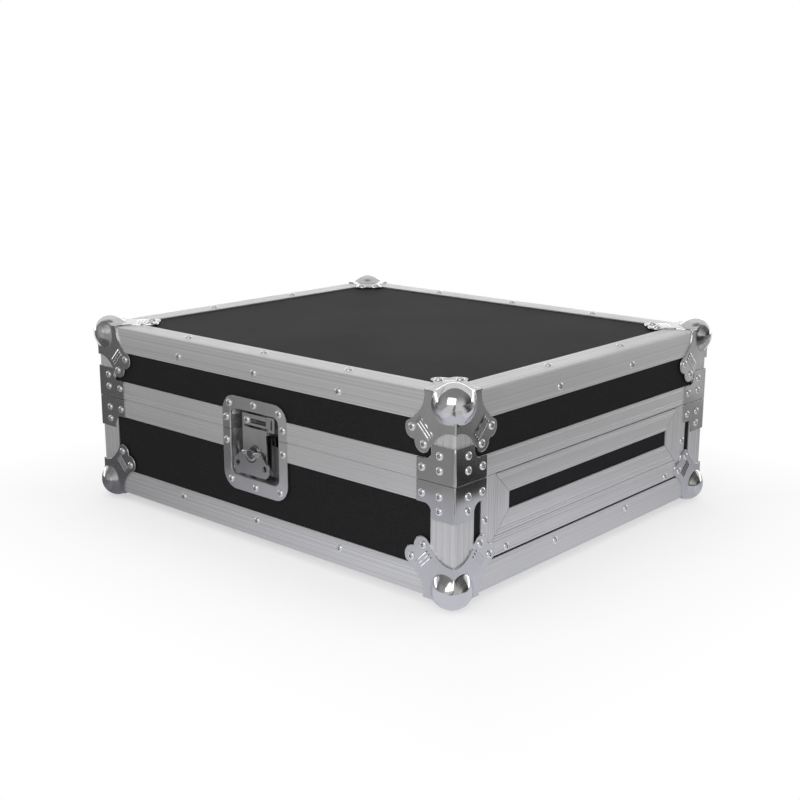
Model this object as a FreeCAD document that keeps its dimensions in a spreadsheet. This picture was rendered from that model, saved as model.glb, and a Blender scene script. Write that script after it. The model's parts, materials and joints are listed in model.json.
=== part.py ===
import FreeCAD, Part
import os
import re

import Sketcher

# Flight case for a mixing desk, built as separate pieces in one parametric document.
# Millimetres, +Z up, origin on the floor under the middle of the case. The access panel is on the
# -Y end, the twist latches are on the -X and +X sides and the drop handle is on the +Y end.

SIZES = {
    # Case, measured over the faces of its extrusions
    "case_width": 480,
    "case_depth": 562,
    "case_height": 208,
    "base_height": 119,
    "parting_gap": 0.5,
    # Boards and the extrusions that hold them
    "board": 9,
    "board_play": 0.2,
    "skin": 1.5,
    "edge_leg": 30,
    "edge_lip": 22,
    "edge_round": 2,
    "rim_band": 22,
    "rim_lip": 15,
    "tongue_width": 4,
    "tongue_rise": 6,
    "groove_width": 5,
    "groove_depth": 7,
    "mitre_reach": 120,
    # Pressed ball corners
    "ball_radius": 20,
    "ball_inset": 10,
    "plate": 1.6,
    "ball_skin": 1.4,
    "corner_square": 50.4,
    "corner_edge": 38.2,
    "lobe_radius": 10.6,
    "lobe_far": 51.3,
    "lobe_near": 39.3,
    "scallop_radius": 29.5,
    "scallop_far": 67,
    "scallop_near": 2,
    "corner_core": 100,
    # Corner braces at the parting line
    "brace_reach": 47,
    "brace_stem": 28,
    "brace_drop": 37,
    "brace_round": 9,
    "brace_bend": 2,
    # Cable opening, its trims and the access panel
    "trim_edge": 63,
    "trim_sill": 53.3,
    "panel_play": 0.4,
    "rail_band": 23,
    # Foam
    "foam_wall": 20,
    "foam_floor": 30,
    "foam_lid": 30,
    "foam_play": 0.3,
    # Latch dishes
    "dish_half": 51.7,
    "dish_rise": 39,
    "dish_drop": 68,
    "dish_round": 20,
    "dish_skin": 1.2,
    "pan_half": 40,
    "pan_rise": 26,
    "pan_drop": 52.5,
    "pan_taper": 3,
    "pan_depth": 14,
    "pan_round": 9,
    "pan_room": 1,
    "mouth_step": 0.4,
    # Latch works
    "works_shift": 3,
    "spindle_drop": 21,
    "spindle_radius": 5,
    "spindle_foot": 12.5,
    "running_play": 0.05,
    "collar_radius": 8,
    "collar_back": 1.2,
    "collar_face": 0.3,
    "head_half": 4.8,
    "head_rise": 4,
    "bed_half": 21,
    "bed_drop": 46,
    "bed_top": 3,
    "boss_radius": 9,
    "boss_face": 9,
    "guide_face": 8,
    "hook_half": 19,
    "hook_face": 1.5,
    "hook_skin": 2,
    "hook_tail": 40,
    "hook_rise": 6.3,
    "nose_length": 4,
    "nose_skin": 1.8,
    "hook_travel": 1.5,
    "hook_play": 0.4,
    "ledge_face": 8.4,
    "ledge_foot": 0.9,
    "ledge_top": 2.7,
    "striker_face": 3.5,
    "striker_foot": 8,
    "striker_top": 24,
    "slot_foot": 11,
    "slot_top": 16,
    "slot_half": 12.5,
    "slot_shift": 4.5,
    "eye_reach": 30,
    "eye_foot": 5,
    "eye_top": 22,
    "eye_slot": 3,
    "eye_margin": 3,
    "vent_near": 18.5,
    "vent_far": 33,
    "vent_top": 1,
    "vent_foot": 13,
    # Butterfly wing
    "pin_out": 3.2,
    "pin_radius": 1.3,
    "pin_half": 13.4,
    "wing_skin": 2.2,
    "wing_half": 28.5,
    "wing_drop": 25,
    "wing_shoulder": 11,
    "wing_neck": 14,
    "wing_rise": 2.2,
    "wing_corner": 8,
    "knuckle_radius": 2.6,
    "knuckle_half": 13,
    "knuckle_gap": 5.2,
    "wing_notch": 5.6,
    "wing_hole": 3.5,
    "wing_hole_along": 21.5,
    "wing_hole_drop": 14,
    # Drop handle
    "handle_up": 63.5,
    "grip_dish_half": 65,
    "grip_dish_tall": 32,
    "grip_dish_round": 14,
    "grip_pan_half": 53,
    "grip_pan_tall": 22,
    "grip_pan_depth": 16,
    "bail_radius": 4,
    "bail_depth": 6.5,
    "bail_pivot": 15,
    "bail_reach": 23,
    "bail_leg": 42,
    "bail_end": 56,
    "bail_bend": 7,
    "grip_radius": 6.5,
    "grip_half": 31,
    # Blind rivets
    "rivet_radius": 4.4,
    "rivet_rise": 1.9,
    "rivet_bore": 1.1,
    "rivet_bore_depth": 1.2,
}

# Where the rivets sit, measured from the edges of the case or the middle of a dish
EDGE_RIVETS_ALONG_X = (-70, 70)
EDGE_RIVETS_ALONG_Y = (-127.5, 0, 127.5)
EDGE_RIVET_SIDE = 20
EDGE_RIVET_FLAT = 16
CORNER_RIVETS = ((53, 38), (38, 53))
BRACE_RIVETS = ((18, 12.8), (40, 12.8), (18, 27.5))
CATCH_RIVETS = ((-40, 30), (0, 33), (40, 30), (-45.5, 13), (45.5, 13))
LATCH_RIVETS = ((-45.5, -13.5), (45.5, -13.5), (-40, -58), (0, -61), (40, -58))
HANDLE_RIVETS = ((-59, -22), (59, -22), (-59, 22), (59, 22), (0, 27), (0, -27))
TRIM_SIDE_RIVET = (47, 74.5)
TRIM_SILL_RIVET = (83, 37.5)

# Outer faces of the case and the plane where lid and base part
LEFT = "-case_width / 2"
FRONT = "-case_depth / 2"
FLOOR = "ball_radius - ball_inset"
TOP = f"{FLOOR} + case_height"
PARTING = f"{FLOOR} + base_height"
LID_RIM = f"{PARTING} + parting_gap"
SLOT = "(skin + board)"
CORE = "(2 * skin + board)"
MIDDLE = "(skin + board / 2)"

X_AXIS = FreeCAD.Vector(1, 0, 0)
Y_AXIS = FreeCAD.Vector(0, 1, 0)
Z_AXIS = FreeCAD.Vector(0, 0, 1)

doc = FreeCAD.newDocument("FlightCase")
sheet = doc.addObject("Spreadsheet::Sheet", "Sizes")
for row, (alias, number) in enumerate(SIZES.items(), start=1):
    sheet.set(f"A{row}", alias)
    sheet.set(f"B{row}", str(number))
    sheet.setAlias(f"B{row}", alias)
doc.recompute()

nodes = []


def size(expression):
    """Work out an expression of the sheet's aliases as a number."""
    return float(sheet.evalExpression(expression))


def bind(item, prop, expression):
    """Bind a property to an expression written in the sheet's aliases."""
    item.setExpression(prop, re.sub(r"[a-z_]+", lambda word: f"Sizes.{word.group()}", expression))


def turn(x_goes_to, y_goes_to):
    """Give the rotation that sends the local X and Y axes to two directions."""
    return FreeCAD.Rotation(x_goes_to, y_goes_to, x_goes_to.cross(y_goes_to), "XYZ")


def place(item, start, rotation=None):
    """Put an object's local origin at three expressions, with a fixed rotation."""
    if rotation is not None:
        item.Placement = FreeCAD.Placement(FreeCAD.Vector(), rotation)
    for axis, expression in zip("xyz", start):
        bind(item, f"Placement.Base.{axis}", expression)


def block(name, x, y, z):
    """Make a box from the low and high expression of each side."""
    solid = doc.addObject("Part::Box", name)
    for side, (low, high) in zip(("Length", "Width", "Height"), (x, y, z)):
        bind(solid, side, f"({high}) - ({low})")
    place(solid, (x[0], y[0], z[0]))
    return solid


def rod(name, axis, start, radius, length):
    """Make a cylinder from a start point along +X, +Y or +Z."""
    solid = doc.addObject("Part::Cylinder", name)
    bind(solid, "Radius", radius)
    bind(solid, "Height", length)
    turns = {"x": turn(Y_AXIS, Z_AXIS), "y": turn(Z_AXIS, X_AXIS), "z": turn(X_AXIS, Y_AXIS)}
    place(solid, start, turns[axis])
    return solid


def cut(name, base, *tools):
    """Take one or more tools out of a base."""
    solid = doc.addObject("Part::Cut", name)
    solid.Base = base
    solid.Tool = tools[0] if len(tools) == 1 else fuse(f"{name}_tools", *tools)
    solid.Refine = True
    return solid


def fuse(name, *pieces):
    """Join pieces into one solid."""
    solid = doc.addObject("Part::MultiFuse", name)
    solid.Shapes = list(pieces)
    solid.Refine = True
    return solid


def group(name, *pieces):
    """Keep pieces apart as the solids of one object."""
    solids = doc.addObject("Part::Compound", name)
    solids.Links = list(pieces)
    return solids


def mirror(name, source, normal, through=("0", "0", "0")):
    """Mirror an object in the plane through a point."""
    image = doc.addObject("Part::Mirroring", name)
    image.Source = source
    image.Normal = normal
    for axis, expression in zip("xyz", through):
        bind(image, f"Base.{axis}", expression)
    return image


def round_edges(name, base, radius, pick):
    """Round the edges of an object that a test picks."""
    doc.recompute()
    solid = doc.addObject("Part::Fillet", name)
    solid.Base = base
    amount = size(radius)
    edges = enumerate(base.Shape.Edges, start=1)
    solid.Edges = [(number, amount, amount) for number, edge in edges if pick(edge)]
    return solid


def runs_along(axis):
    """Make a test for straight edges along a direction."""
    def test(edge):
        ends = [vertex.Point for vertex in edge.Vertexes]
        return len(ends) == 2 and abs((ends[1] - ends[0]).normalize().dot(axis)) > 0.999
    return test


def lies_on(**levels):
    """Make a test for edges whose ends all have the given coordinates."""
    goals = {axis: size(expression) for axis, expression in levels.items()}

    def test(edge):
        points = [vertex.Point for vertex in edge.Vertexes]
        return all(abs(getattr(point, axis) - goal) < 0.01
                   for point in points for axis, goal in goals.items())
    return test


def bar(name, loops, length, start, x_goes_to, y_goes_to):
    """Pad a section of closed polygons, whose corners are bound to the sheet, into a bar."""
    body = doc.addObject("PartDesign::Body", name)
    sketch = body.newObject("Sketcher::SketchObject", f"{name}_section")
    planes = [item for item in body.Origin.OriginFeatures if item.Role == "XY_Plane"]
    sketch.AttachmentSupport = [(planes[0], "")]
    sketch.MapMode = "FlatFace"
    for loop in loops:
        first = sketch.GeometryCount
        corners = [FreeCAD.Vector(size(x), size(y), 0) for x, y in loop]
        for here, there in zip(corners, corners[1:] + corners[:1]):
            sketch.addGeometry(Part.LineSegment(here, there), False)
        for index, (x, y) in enumerate(loop):
            line = first + index
            following = first + (index + 1) % len(loop)
            sketch.addConstraint(Sketcher.Constraint("Coincident", line, 2, following, 1))
            for kind, expression in (("DistanceX", x), ("DistanceY", y)):
                rule = Sketcher.Constraint(kind, -1, 1, line, 1, size(expression))
                bind(sketch, f"Constraints[{sketch.addConstraint(rule)}]", expression)
    pad = body.newObject("PartDesign::Pad", f"{name}_pad")
    pad.Profile = sketch
    bind(pad, "Length", length)
    place(body, start, turn(x_goes_to, y_goes_to))
    return body


def mitre(name, corner, first, second):
    """Make a box with its corner at a point and two sides along given directions."""
    tool = doc.addObject("Part::Box", name)
    for side in ("Length", "Width", "Height"):
        bind(tool, side, "2 * mitre_reach")
    place(tool, corner, turn(FreeCAD.Vector(first).normalize(), FreeCAD.Vector(second).normalize()))
    return tool


def mirrored_pair(name, source, normal, through=("0", "0", "0")):
    """Group an object with its mirror image."""
    return group(name, source, mirror(f"{name}_image", source, normal, through))


def four_corners(name, source):
    """Group an object at the front left corner with its images at the other three."""
    pair = mirrored_pair(f"{name}_front", source, X_AXIS)
    return mirrored_pair(name, pair, Y_AXIS)


def node(item, label=None):
    """List an object as a piece of the case, under the label that names its file."""
    item.Label = label or item.Name
    nodes.append(item)
    return item


# Sections of the extrusions: x is the distance in from the outer face

EDGE_SECTION = [
    [("0", "0"), ("edge_leg", "0"), ("edge_leg", "skin"), (CORE, "skin"), (CORE, SLOT),
     ("edge_lip", SLOT), ("edge_lip", CORE), (CORE, CORE), (CORE, "edge_lip"), (SLOT, "edge_lip"),
     (SLOT, CORE), ("skin", CORE), ("skin", "edge_leg"), ("0", "edge_leg")],
    [("skin", "skin"), (SLOT, "skin"), (SLOT, SLOT), ("skin", SLOT)],
]


def tongue_section(band):
    """Give the channel that grips a board from above and carries a tongue."""
    near = f"{MIDDLE} - tongue_width / 2"
    far = f"{MIDDLE} + tongue_width / 2"
    return [[("0", f"-{band}"), ("skin", f"-{band}"), ("skin", "-skin"), (SLOT, "-skin"),
             (SLOT, "-rim_lip"), (CORE, "-rim_lip"), (CORE, "0"), (far, "0"), (far, "tongue_rise"),
             (near, "tongue_rise"), (near, "0"), ("0", "0")]]


def groove_section():
    """Give the channel that grips a board from below and has a groove for the tongue."""
    near = f"{MIDDLE} - groove_width / 2"
    far = f"{MIDDLE} + groove_width / 2"
    web = "groove_depth + skin"
    return [[("0", "0"), (near, "0"), (near, "groove_depth"), (far, "groove_depth"), (far, "0"),
             (CORE, "0"), (CORE, "rim_lip"), (SLOT, "rim_lip"), (SLOT, web), ("skin", web),
             ("skin", "rim_band"), ("0", "rim_band")]]


# Mitre tools for the rings of extrusions round the case

ring_corner = (LEFT, FRONT, "0")
for_x_bars = four_corners("mitre_for_x_bars", mitre("mitre_x", ring_corner, (1, 1, 0), (-1, 1, 0)))
for_y_bars = four_corners("mitre_for_y_bars", mitre("mitre_y", ring_corner, (1, -1, 0), (1, 1, 0)))

mid_height = ("0", "0", f"{FLOOR} + case_height / 2")
latch_room = block("latch_room", (f"{LEFT} - board", f"{LEFT} + 4 * board"),
                   ("-pan_half - pan_room", "pan_half + pan_room"),
                   (f"{PARTING} - pan_drop - pan_room", f"{PARTING} + pan_rise + pan_room"))


def make_edges():
    """Make the double-angle extrusions along the long edges, and the corner posts."""
    front = bar("front_edge_bar", EDGE_SECTION, "case_width", (LEFT, FRONT, FLOOR), Y_AXIS, Z_AXIS)
    left = bar("left_edge_bar", EDGE_SECTION, "case_depth", (LEFT, "case_depth / 2", FLOOR),
               X_AXIS, Z_AXIS)
    front = round_edges("front_edge_round", front, "edge_round", lies_on(y=FRONT, z=FLOOR))
    left = round_edges("left_edge_round", left, "edge_round", lies_on(x=LEFT, z=FLOOR))
    base = {"front": node(cut("base_edge_front", front, for_x_bars)),
            "left": node(cut("base_edge_left", left, for_y_bars))}
    base["back"] = node(mirror("base_edge_back", base["front"], Y_AXIS))
    base["right"] = node(mirror("base_edge_right", base["left"], X_AXIS))
    for side, edge in base.items():
        node(mirror(f"lid_edge_{side}", edge, Z_AXIS, mid_height))

    heights = {"base": (f"{FLOOR} + edge_leg", "base_height - edge_leg - rim_band"),
               "lid": (f"{LID_RIM} + rim_band",
                       "case_height - base_height - parting_gap - edge_leg - rim_band")}
    for half, (foot, length) in heights.items():
        post = bar(f"{half}_post_bar", EDGE_SECTION, length, (LEFT, FRONT, foot), X_AXIS, Y_AXIS)
        post = round_edges(f"{half}_post", post, "edge_round", lies_on(x=LEFT, y=FRONT))
        node(four_corners(f"{half}_corner_posts", post))


def make_rims():
    """Make the tongued rims of the base and the grooved rims of the lid."""
    tongue = tongue_section("rim_band")
    front = bar("base_front_rim_bar", tongue, "case_width", (LEFT, FRONT, PARTING), Y_AXIS, Z_AXIS)
    front = cut("base_front_rim", front, for_x_bars)
    left = bar("base_left_rim_bar", tongue, "case_depth", (LEFT, "case_depth / 2", PARTING),
               X_AXIS, Z_AXIS)
    opening = "case_width / 2 - trim_edge + rim_band"
    gap = block("front_rim_gap", (f"-({opening})", opening), (f"{FRONT} - board", f"{FRONT} + 4 * board"),
                (f"{PARTING} - edge_leg", f"{PARTING} + edge_leg"))
    node(mirror("base_rim_back", front, Y_AXIS))
    node(cut("base_rim_front", front, gap))
    side = node(cut("base_rim_left", left, for_y_bars, latch_room))
    node(mirror("base_rim_right", side, X_AXIS))

    front = bar("lid_front_rim_bar", groove_section(), "case_width", (LEFT, FRONT, LID_RIM),
                Y_AXIS, Z_AXIS)
    left = bar("lid_left_rim_bar", groove_section(), "case_depth", (LEFT, "case_depth / 2", LID_RIM),
               X_AXIS, Z_AXIS)
    node(mirrored_pair("lid_rim_ends", cut("lid_rim_front", front, for_x_bars), Y_AXIS))
    node(mirrored_pair("lid_rim_sides", cut("lid_rim_left", left, for_y_bars, latch_room), X_AXIS))


def make_boards():
    """Make the laminated boards that stand in the slots of the extrusions."""
    inset = f"({CORE} + board_play)"
    across = (f"{LEFT} + {inset}", f"case_width / 2 - {inset}")
    along = (f"{FRONT} + {inset}", f"case_depth / 2 - {inset}")
    left = (f"{LEFT} + skin", f"{LEFT} + {SLOT}")
    front = (f"{FRONT} + skin", f"{FRONT} + {SLOT}")
    base_up = (f"{FLOOR} + {inset}", f"{PARTING} - skin - board_play")
    lid_up = (f"{LID_RIM} + groove_depth + skin + board_play", f"{TOP} - {inset}")

    node(block("base_floor_board", across, along, (f"{FLOOR} + skin", f"{FLOOR} + {SLOT}")))
    node(block("lid_top_board", across, along, (f"{TOP} - {SLOT}", f"{TOP} - skin")))

    end = block("base_end_board", across, front, base_up)
    cut_in = "groove_depth + skin + board_play"
    half = f"case_width / 2 - trim_edge + {cut_in}"
    opening = block("cable_opening", (f"-({half})", half), (f"{FRONT} - board", f"{FRONT} + 4 * board"),
                    (f"{FLOOR} + trim_sill - ({cut_in})", PARTING))
    node(cut("base_front_board", end, opening))
    grip = f"{FLOOR} + handle_up"
    room = block("handle_room", ("-bail_end - pan_room", "bail_end + pan_room"),
                 ("case_depth / 2 - 4 * board", "case_depth / 2 + board"),
                 (f"{grip} - grip_pan_tall - pan_room", f"{grip} + grip_pan_tall + pan_room"))
    node(cut("base_back_board", mirror("base_far_board", end, Y_AXIS), room))

    side = node(cut("base_left_board", block("base_side_board", left, along, base_up), latch_room))
    node(mirror("base_right_board", side, X_AXIS))
    end = node(block("lid_front_board", across, front, lid_up))
    node(mirror("lid_back_board", end, Y_AXIS))
    side = node(cut("lid_left_board", block("lid_side_board", left, along, lid_up), latch_room))
    node(mirror("lid_right_board", side, X_AXIS))


def make_ball_corners():
    """Make the pressed corners: a ball shell with a scalloped, two-lobed leg on each face."""
    corner = (LEFT, FRONT, FLOOR)
    level = f"{FLOOR} - plate"

    def stamp(name, far, near, radius):
        return rod(name, "z", (f"{LEFT} + {far}", f"{FRONT} + {near}", level), radius, "plate")

    square = block("leg_square", (LEFT, f"{LEFT} + corner_square"), (FRONT, f"{FRONT} + corner_square"),
                   (level, FLOOR))
    body = fuse("leg_body", square, stamp("leg_lobe_x", "lobe_far", "lobe_near", "lobe_radius"),
                stamp("leg_lobe_y", "lobe_near", "lobe_far", "lobe_radius"))
    leg = cut("leg", body, stamp("leg_scallop_x", "scallop_far", "scallop_near", "scallop_radius"),
              stamp("leg_scallop_y", "scallop_near", "scallop_far", "scallop_radius"))
    side_leg = mirror("side_leg", leg, FreeCAD.Vector(1, 0, -1), corner)
    end_leg = mirror("end_leg", leg, FreeCAD.Vector(0, 1, -1), corner)
    bends = [rod(f"bend_{axis}", axis, corner, "plate", "corner_edge") for axis in "xyz"]
    balls = []
    for name, radius in (("ball", "ball_radius"), ("ball_hollow", "ball_radius - ball_skin")):
        ball = doc.addObject("Part::Sphere", name)
        bind(ball, "Radius", radius)
        place(ball, [f"{face} + ball_inset" for face in corner])
        balls.append(ball)
    core = block("corner_core", *[(face, f"{face} + corner_core") for face in corner])
    outside = fuse("corner_outside", leg, side_leg, end_leg, *bends, balls[0])
    pressed = cut("pressed_corner", outside, core, balls[1])
    four = node(four_corners("base_ball_corners", pressed))
    node(mirror("lid_ball_corners", four, Z_AXIS, mid_height))


def make_braces():
    """Make the T-winged angle braces on each side of the parting line."""
    outer_x = f"{LEFT} - plate"
    outer_y = f"{FRONT} - plate"
    up = (f"{PARTING} - brace_drop", PARTING)
    side = block("brace_side", (outer_x, LEFT), (outer_y, f"{FRONT} + brace_reach"), up)
    end = block("brace_end", (outer_x, f"{LEFT} + brace_reach"), (outer_y, FRONT), up)
    blank = round_edges("brace_blank", fuse("brace_angle", side, end), "brace_bend",
                        lies_on(x=outer_x, y=outer_y))
    below = (f"{PARTING} - 2 * brace_drop", f"{PARTING} - rim_band")
    notches = []
    for name, x, y, corner in (
            ("brace_side_notch", (f"{LEFT} - board", f"{LEFT} + board"),
             (f"{FRONT} + brace_stem", f"{FRONT} + 2 * brace_reach"),
             {"y": f"{FRONT} + brace_stem", "z": below[1]}),
            ("brace_end_notch", (f"{LEFT} + brace_stem", f"{LEFT} + 2 * brace_reach"),
             (f"{FRONT} - board", f"{FRONT} + board"),
             {"x": f"{LEFT} + brace_stem", "z": below[1]})):
        notch = block(name, x, y, below)
        notches.append(round_edges(f"{name}_round", notch, "brace_round", lies_on(**corner)))
    four = node(four_corners("base_corner_braces", cut("brace", blank, *notches)))
    node(mirror("lid_corner_braces", four, Z_AXIS, ("0", "0", f"{PARTING} + parting_gap / 2")))


def make_opening_trims():
    """Make the grooved trims on three sides of the cable opening, mitred at the lower corners."""
    side_x = f"{LEFT} + trim_edge"
    sill = f"{FLOOR} + trim_sill"
    corner = (side_x, f"{FRONT} - mitre_reach", sill)
    outer = f"{sill} - rim_band"
    side = bar("side_trim_bar", groove_section(), f"{PARTING} - ({outer})", (side_x, FRONT, outer),
               Y_AXIS, -X_AXIS)
    side = cut("side_trim", side, mitre("side_trim_mitre", corner, (1, 0, -1), (-1, 0, -1)))
    node(mirrored_pair("opening_trim_sides", side, X_AXIS))
    reach = "case_width / 2 - trim_edge + rim_band"
    floor = bar("sill_trim_bar", groove_section(), f"2 * ({reach})", (reach, FRONT, sill),
                Y_AXIS, -Z_AXIS)
    ends = mirrored_pair("sill_trim_mitres",
                         mitre("sill_trim_mitre", corner, (-1, 0, -1), (-1, 0, 1)), X_AXIS)
    node(cut("opening_trim_bottom", floor, ends))


def make_access_panel():
    """Make the draw-out panel: a board in a mitred frame with a tongue all round."""
    half = "case_width / 2 - trim_edge - panel_play"
    foot = f"{FLOOR} + trim_sill + panel_play"
    head = f"{PARTING} - panel_play"
    middle = ("0", "0", f"(({foot}) + ({head})) / 2")
    section = tongue_section("rail_band")
    reach = f"{half} + tongue_rise"
    rail = bar("rail_bar", section, f"2 * ({reach})", (f"-({reach})", FRONT, head), Y_AXIS, Z_AXIS)
    stile = bar("stile_bar", section, f"({head}) - ({foot}) + 2 * tongue_rise",
                (f"-({half})", FRONT, f"{foot} - tongue_rise"), Y_AXIS, -X_AXIS)
    corner = (f"-({reach})", f"{FRONT} - mitre_reach", f"{head} + tongue_rise")
    rail_ends = mirrored_pair("rail_mitres", mitre("rail_mitre", corner, (1, 0, -1), (-1, 0, -1)),
                              X_AXIS)
    stile_ends = mirrored_pair("stile_mitres", mitre("stile_mitre", corner, (1, 0, 1), (1, 0, -1)),
                               Z_AXIS, middle)
    node(mirrored_pair("access_panel_rails", cut("rail", rail, rail_ends), Z_AXIS, middle))
    node(mirrored_pair("access_panel_stiles", cut("stile", stile, stile_ends), X_AXIS))
    inset = "skin + board_play"
    node(block("access_panel_board", (f"-({half}) + {inset}", f"{half} - ({inset})"),
               (f"{FRONT} + skin", f"{FRONT} + {SLOT}"),
               (f"{foot} + {inset}", f"{head} - ({inset})")))


def make_foam():
    """Make the foam pads, which lie between the lips of the extrusions and behind the dishes."""
    clear = "edge_lip + foam_play"
    wall = f"{SLOT} + foam_wall"
    up = (f"{FLOOR} + {clear}", f"{PARTING} - rim_lip - foam_play")
    side_y = (f"{FRONT} + {clear}", f"case_depth / 2 - ({clear})")
    side_x = (f"{LEFT} + {SLOT}", f"{LEFT} + {wall}")
    behind_latch = (f"{LEFT} + pan_depth + foam_play", f"{LEFT} + {wall}")
    beside = "pan_half + 2 * foam_play"
    side = [block("foam_before_latch", side_x, (side_y[0], f"-({beside})"), up),
            block("foam_behind_latch", behind_latch, (f"-({beside})", beside), up),
            block("foam_after_latch", side_x, (beside, side_y[1]), up)]
    inner_x = (f"{LEFT} + {wall} + foam_play", f"case_width / 2 - ({wall} + foam_play)")
    back_y = (f"case_depth / 2 - ({wall})", f"case_depth / 2 - {SLOT}")
    behind_handle = (back_y[0], "case_depth / 2 - grip_pan_depth - foam_play")
    beside = "bail_end + 2 * foam_play"
    back = [block("foam_left_of_handle", (inner_x[0], f"-({beside})"), back_y, up),
            block("foam_behind_handle", (f"-({beside})", beside), behind_handle, up),
            block("foam_right_of_handle", (beside, inner_x[1]), back_y, up)]
    left = group("left_wall_foam", *side)
    node(group("base_wall_foam", left, mirror("right_wall_foam", left, X_AXIS), *back))
    floor_y = (side_y[0], f"case_depth / 2 - ({wall} + foam_play)")
    node(block("base_floor_foam", inner_x, floor_y,
               (f"{FLOOR} + {SLOT}", f"{FLOOR} + {SLOT} + foam_floor")))
    node(block("lid_foam_pad", (f"{LEFT} + {clear}", f"case_width / 2 - ({clear})"), side_y,
               (f"{TOP} - {SLOT} - foam_lid", f"{TOP} - {SLOT}")))


def latch_block(name, out, along, up):
    """Make a box on the left side from its distances out of the face, along it and above the parting."""
    return block(name, (f"{LEFT} - ({out[1]})", f"{LEFT} - ({out[0]})"), along,
                 (f"{PARTING} + {up[0]}", f"{PARTING} + {up[1]}"))


def latch_rod(name, axis, out, along, up, radius, length):
    """Make a cylinder on the left side, from the same distances as latch_block."""
    return rod(name, axis, (f"{LEFT} - ({out})", along, f"{PARTING} + {up}"), radius, length)


def both_sides(name, left):
    """List a left-hand piece and its mirror image on the right."""
    node(left, f"left_{name}")
    node(mirror(f"right_{name}", left, X_AXIS))


def dish_pan(name, shrink, depth):
    """Make the tapered, round-cornered hollow of a latch dish, from the face inwards."""
    pan = doc.addObject("Part::Wedge", name)
    mouth = {"Xmin": f"-pan_half + {shrink}", "Xmax": f"pan_half - {shrink}", "Ymin": "0", "Ymax": depth,
             "Zmin": f"-pan_drop + {shrink}", "Zmax": f"pan_rise - {shrink}",
             "X2min": f"-pan_half + pan_taper + {shrink}", "X2max": f"pan_half - pan_taper - {shrink}",
             "Z2min": f"-pan_drop + pan_taper + {shrink}", "Z2max": f"pan_rise - pan_taper - {shrink}"}
    for prop, expression in mouth.items():
        bind(pan, prop, expression)
    place(pan, (LEFT, "0", PARTING), turn(-Y_AXIS, X_AXIS))

    def slanted(edge):
        ends = [vertex.Point for vertex in edge.Vertexes]
        return abs(ends[1].x - ends[0].x) > 1
    return round_edges(f"{name}_round", pan, f"pan_round - {shrink}", slanted)


def make_latch_dishes():
    """Make the pressed dish, parted into a lower half on the base and an upper half on the lid."""
    flange = latch_block("dish_flange_blank", ("0", "dish_skin"), ("-dish_half", "dish_half"),
                         ("-dish_drop", "dish_rise"))
    flange = round_edges("dish_flange", flange, "dish_round", runs_along(X_AXIS))
    lip = "(dish_skin - mouth_step)"
    mouth = latch_block("dish_mouth_blank", ("0", "2 * dish_skin"),
                        (f"-pan_half + {lip}", f"pan_half - {lip}"),
                        (f"-pan_drop + {lip}", f"pan_rise - {lip}"))
    mouth = round_edges("dish_mouth", mouth, f"pan_round - {lip}", runs_along(X_AXIS))
    dish = cut("dish", fuse("dish_body", flange, dish_pan("dish_outer", "0", "pan_depth")),
               dish_pan("dish_inner", "dish_skin", "pan_depth - dish_skin"), mouth)
    reach = ("-2 * dish_half", "2 * dish_half")
    depth = ("-2 * pan_depth", "pan_depth")
    above = latch_block("above_parting", depth, reach, ("0", "2 * dish_rise"))
    below = latch_block("below_parting", depth, reach, ("-2 * dish_drop", "parting_gap"))
    vent = latch_block("dish_vent", ("-2 * pan_depth", "-pan_depth / 2"), ("-vent_far", "-vent_near"),
                       ("-vent_foot", "-vent_top"))
    both_sides("latch_dish", cut("left_latch_dish", dish, above, vent))
    both_sides("catch_dish", cut("left_catch_dish", dish, below))


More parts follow.
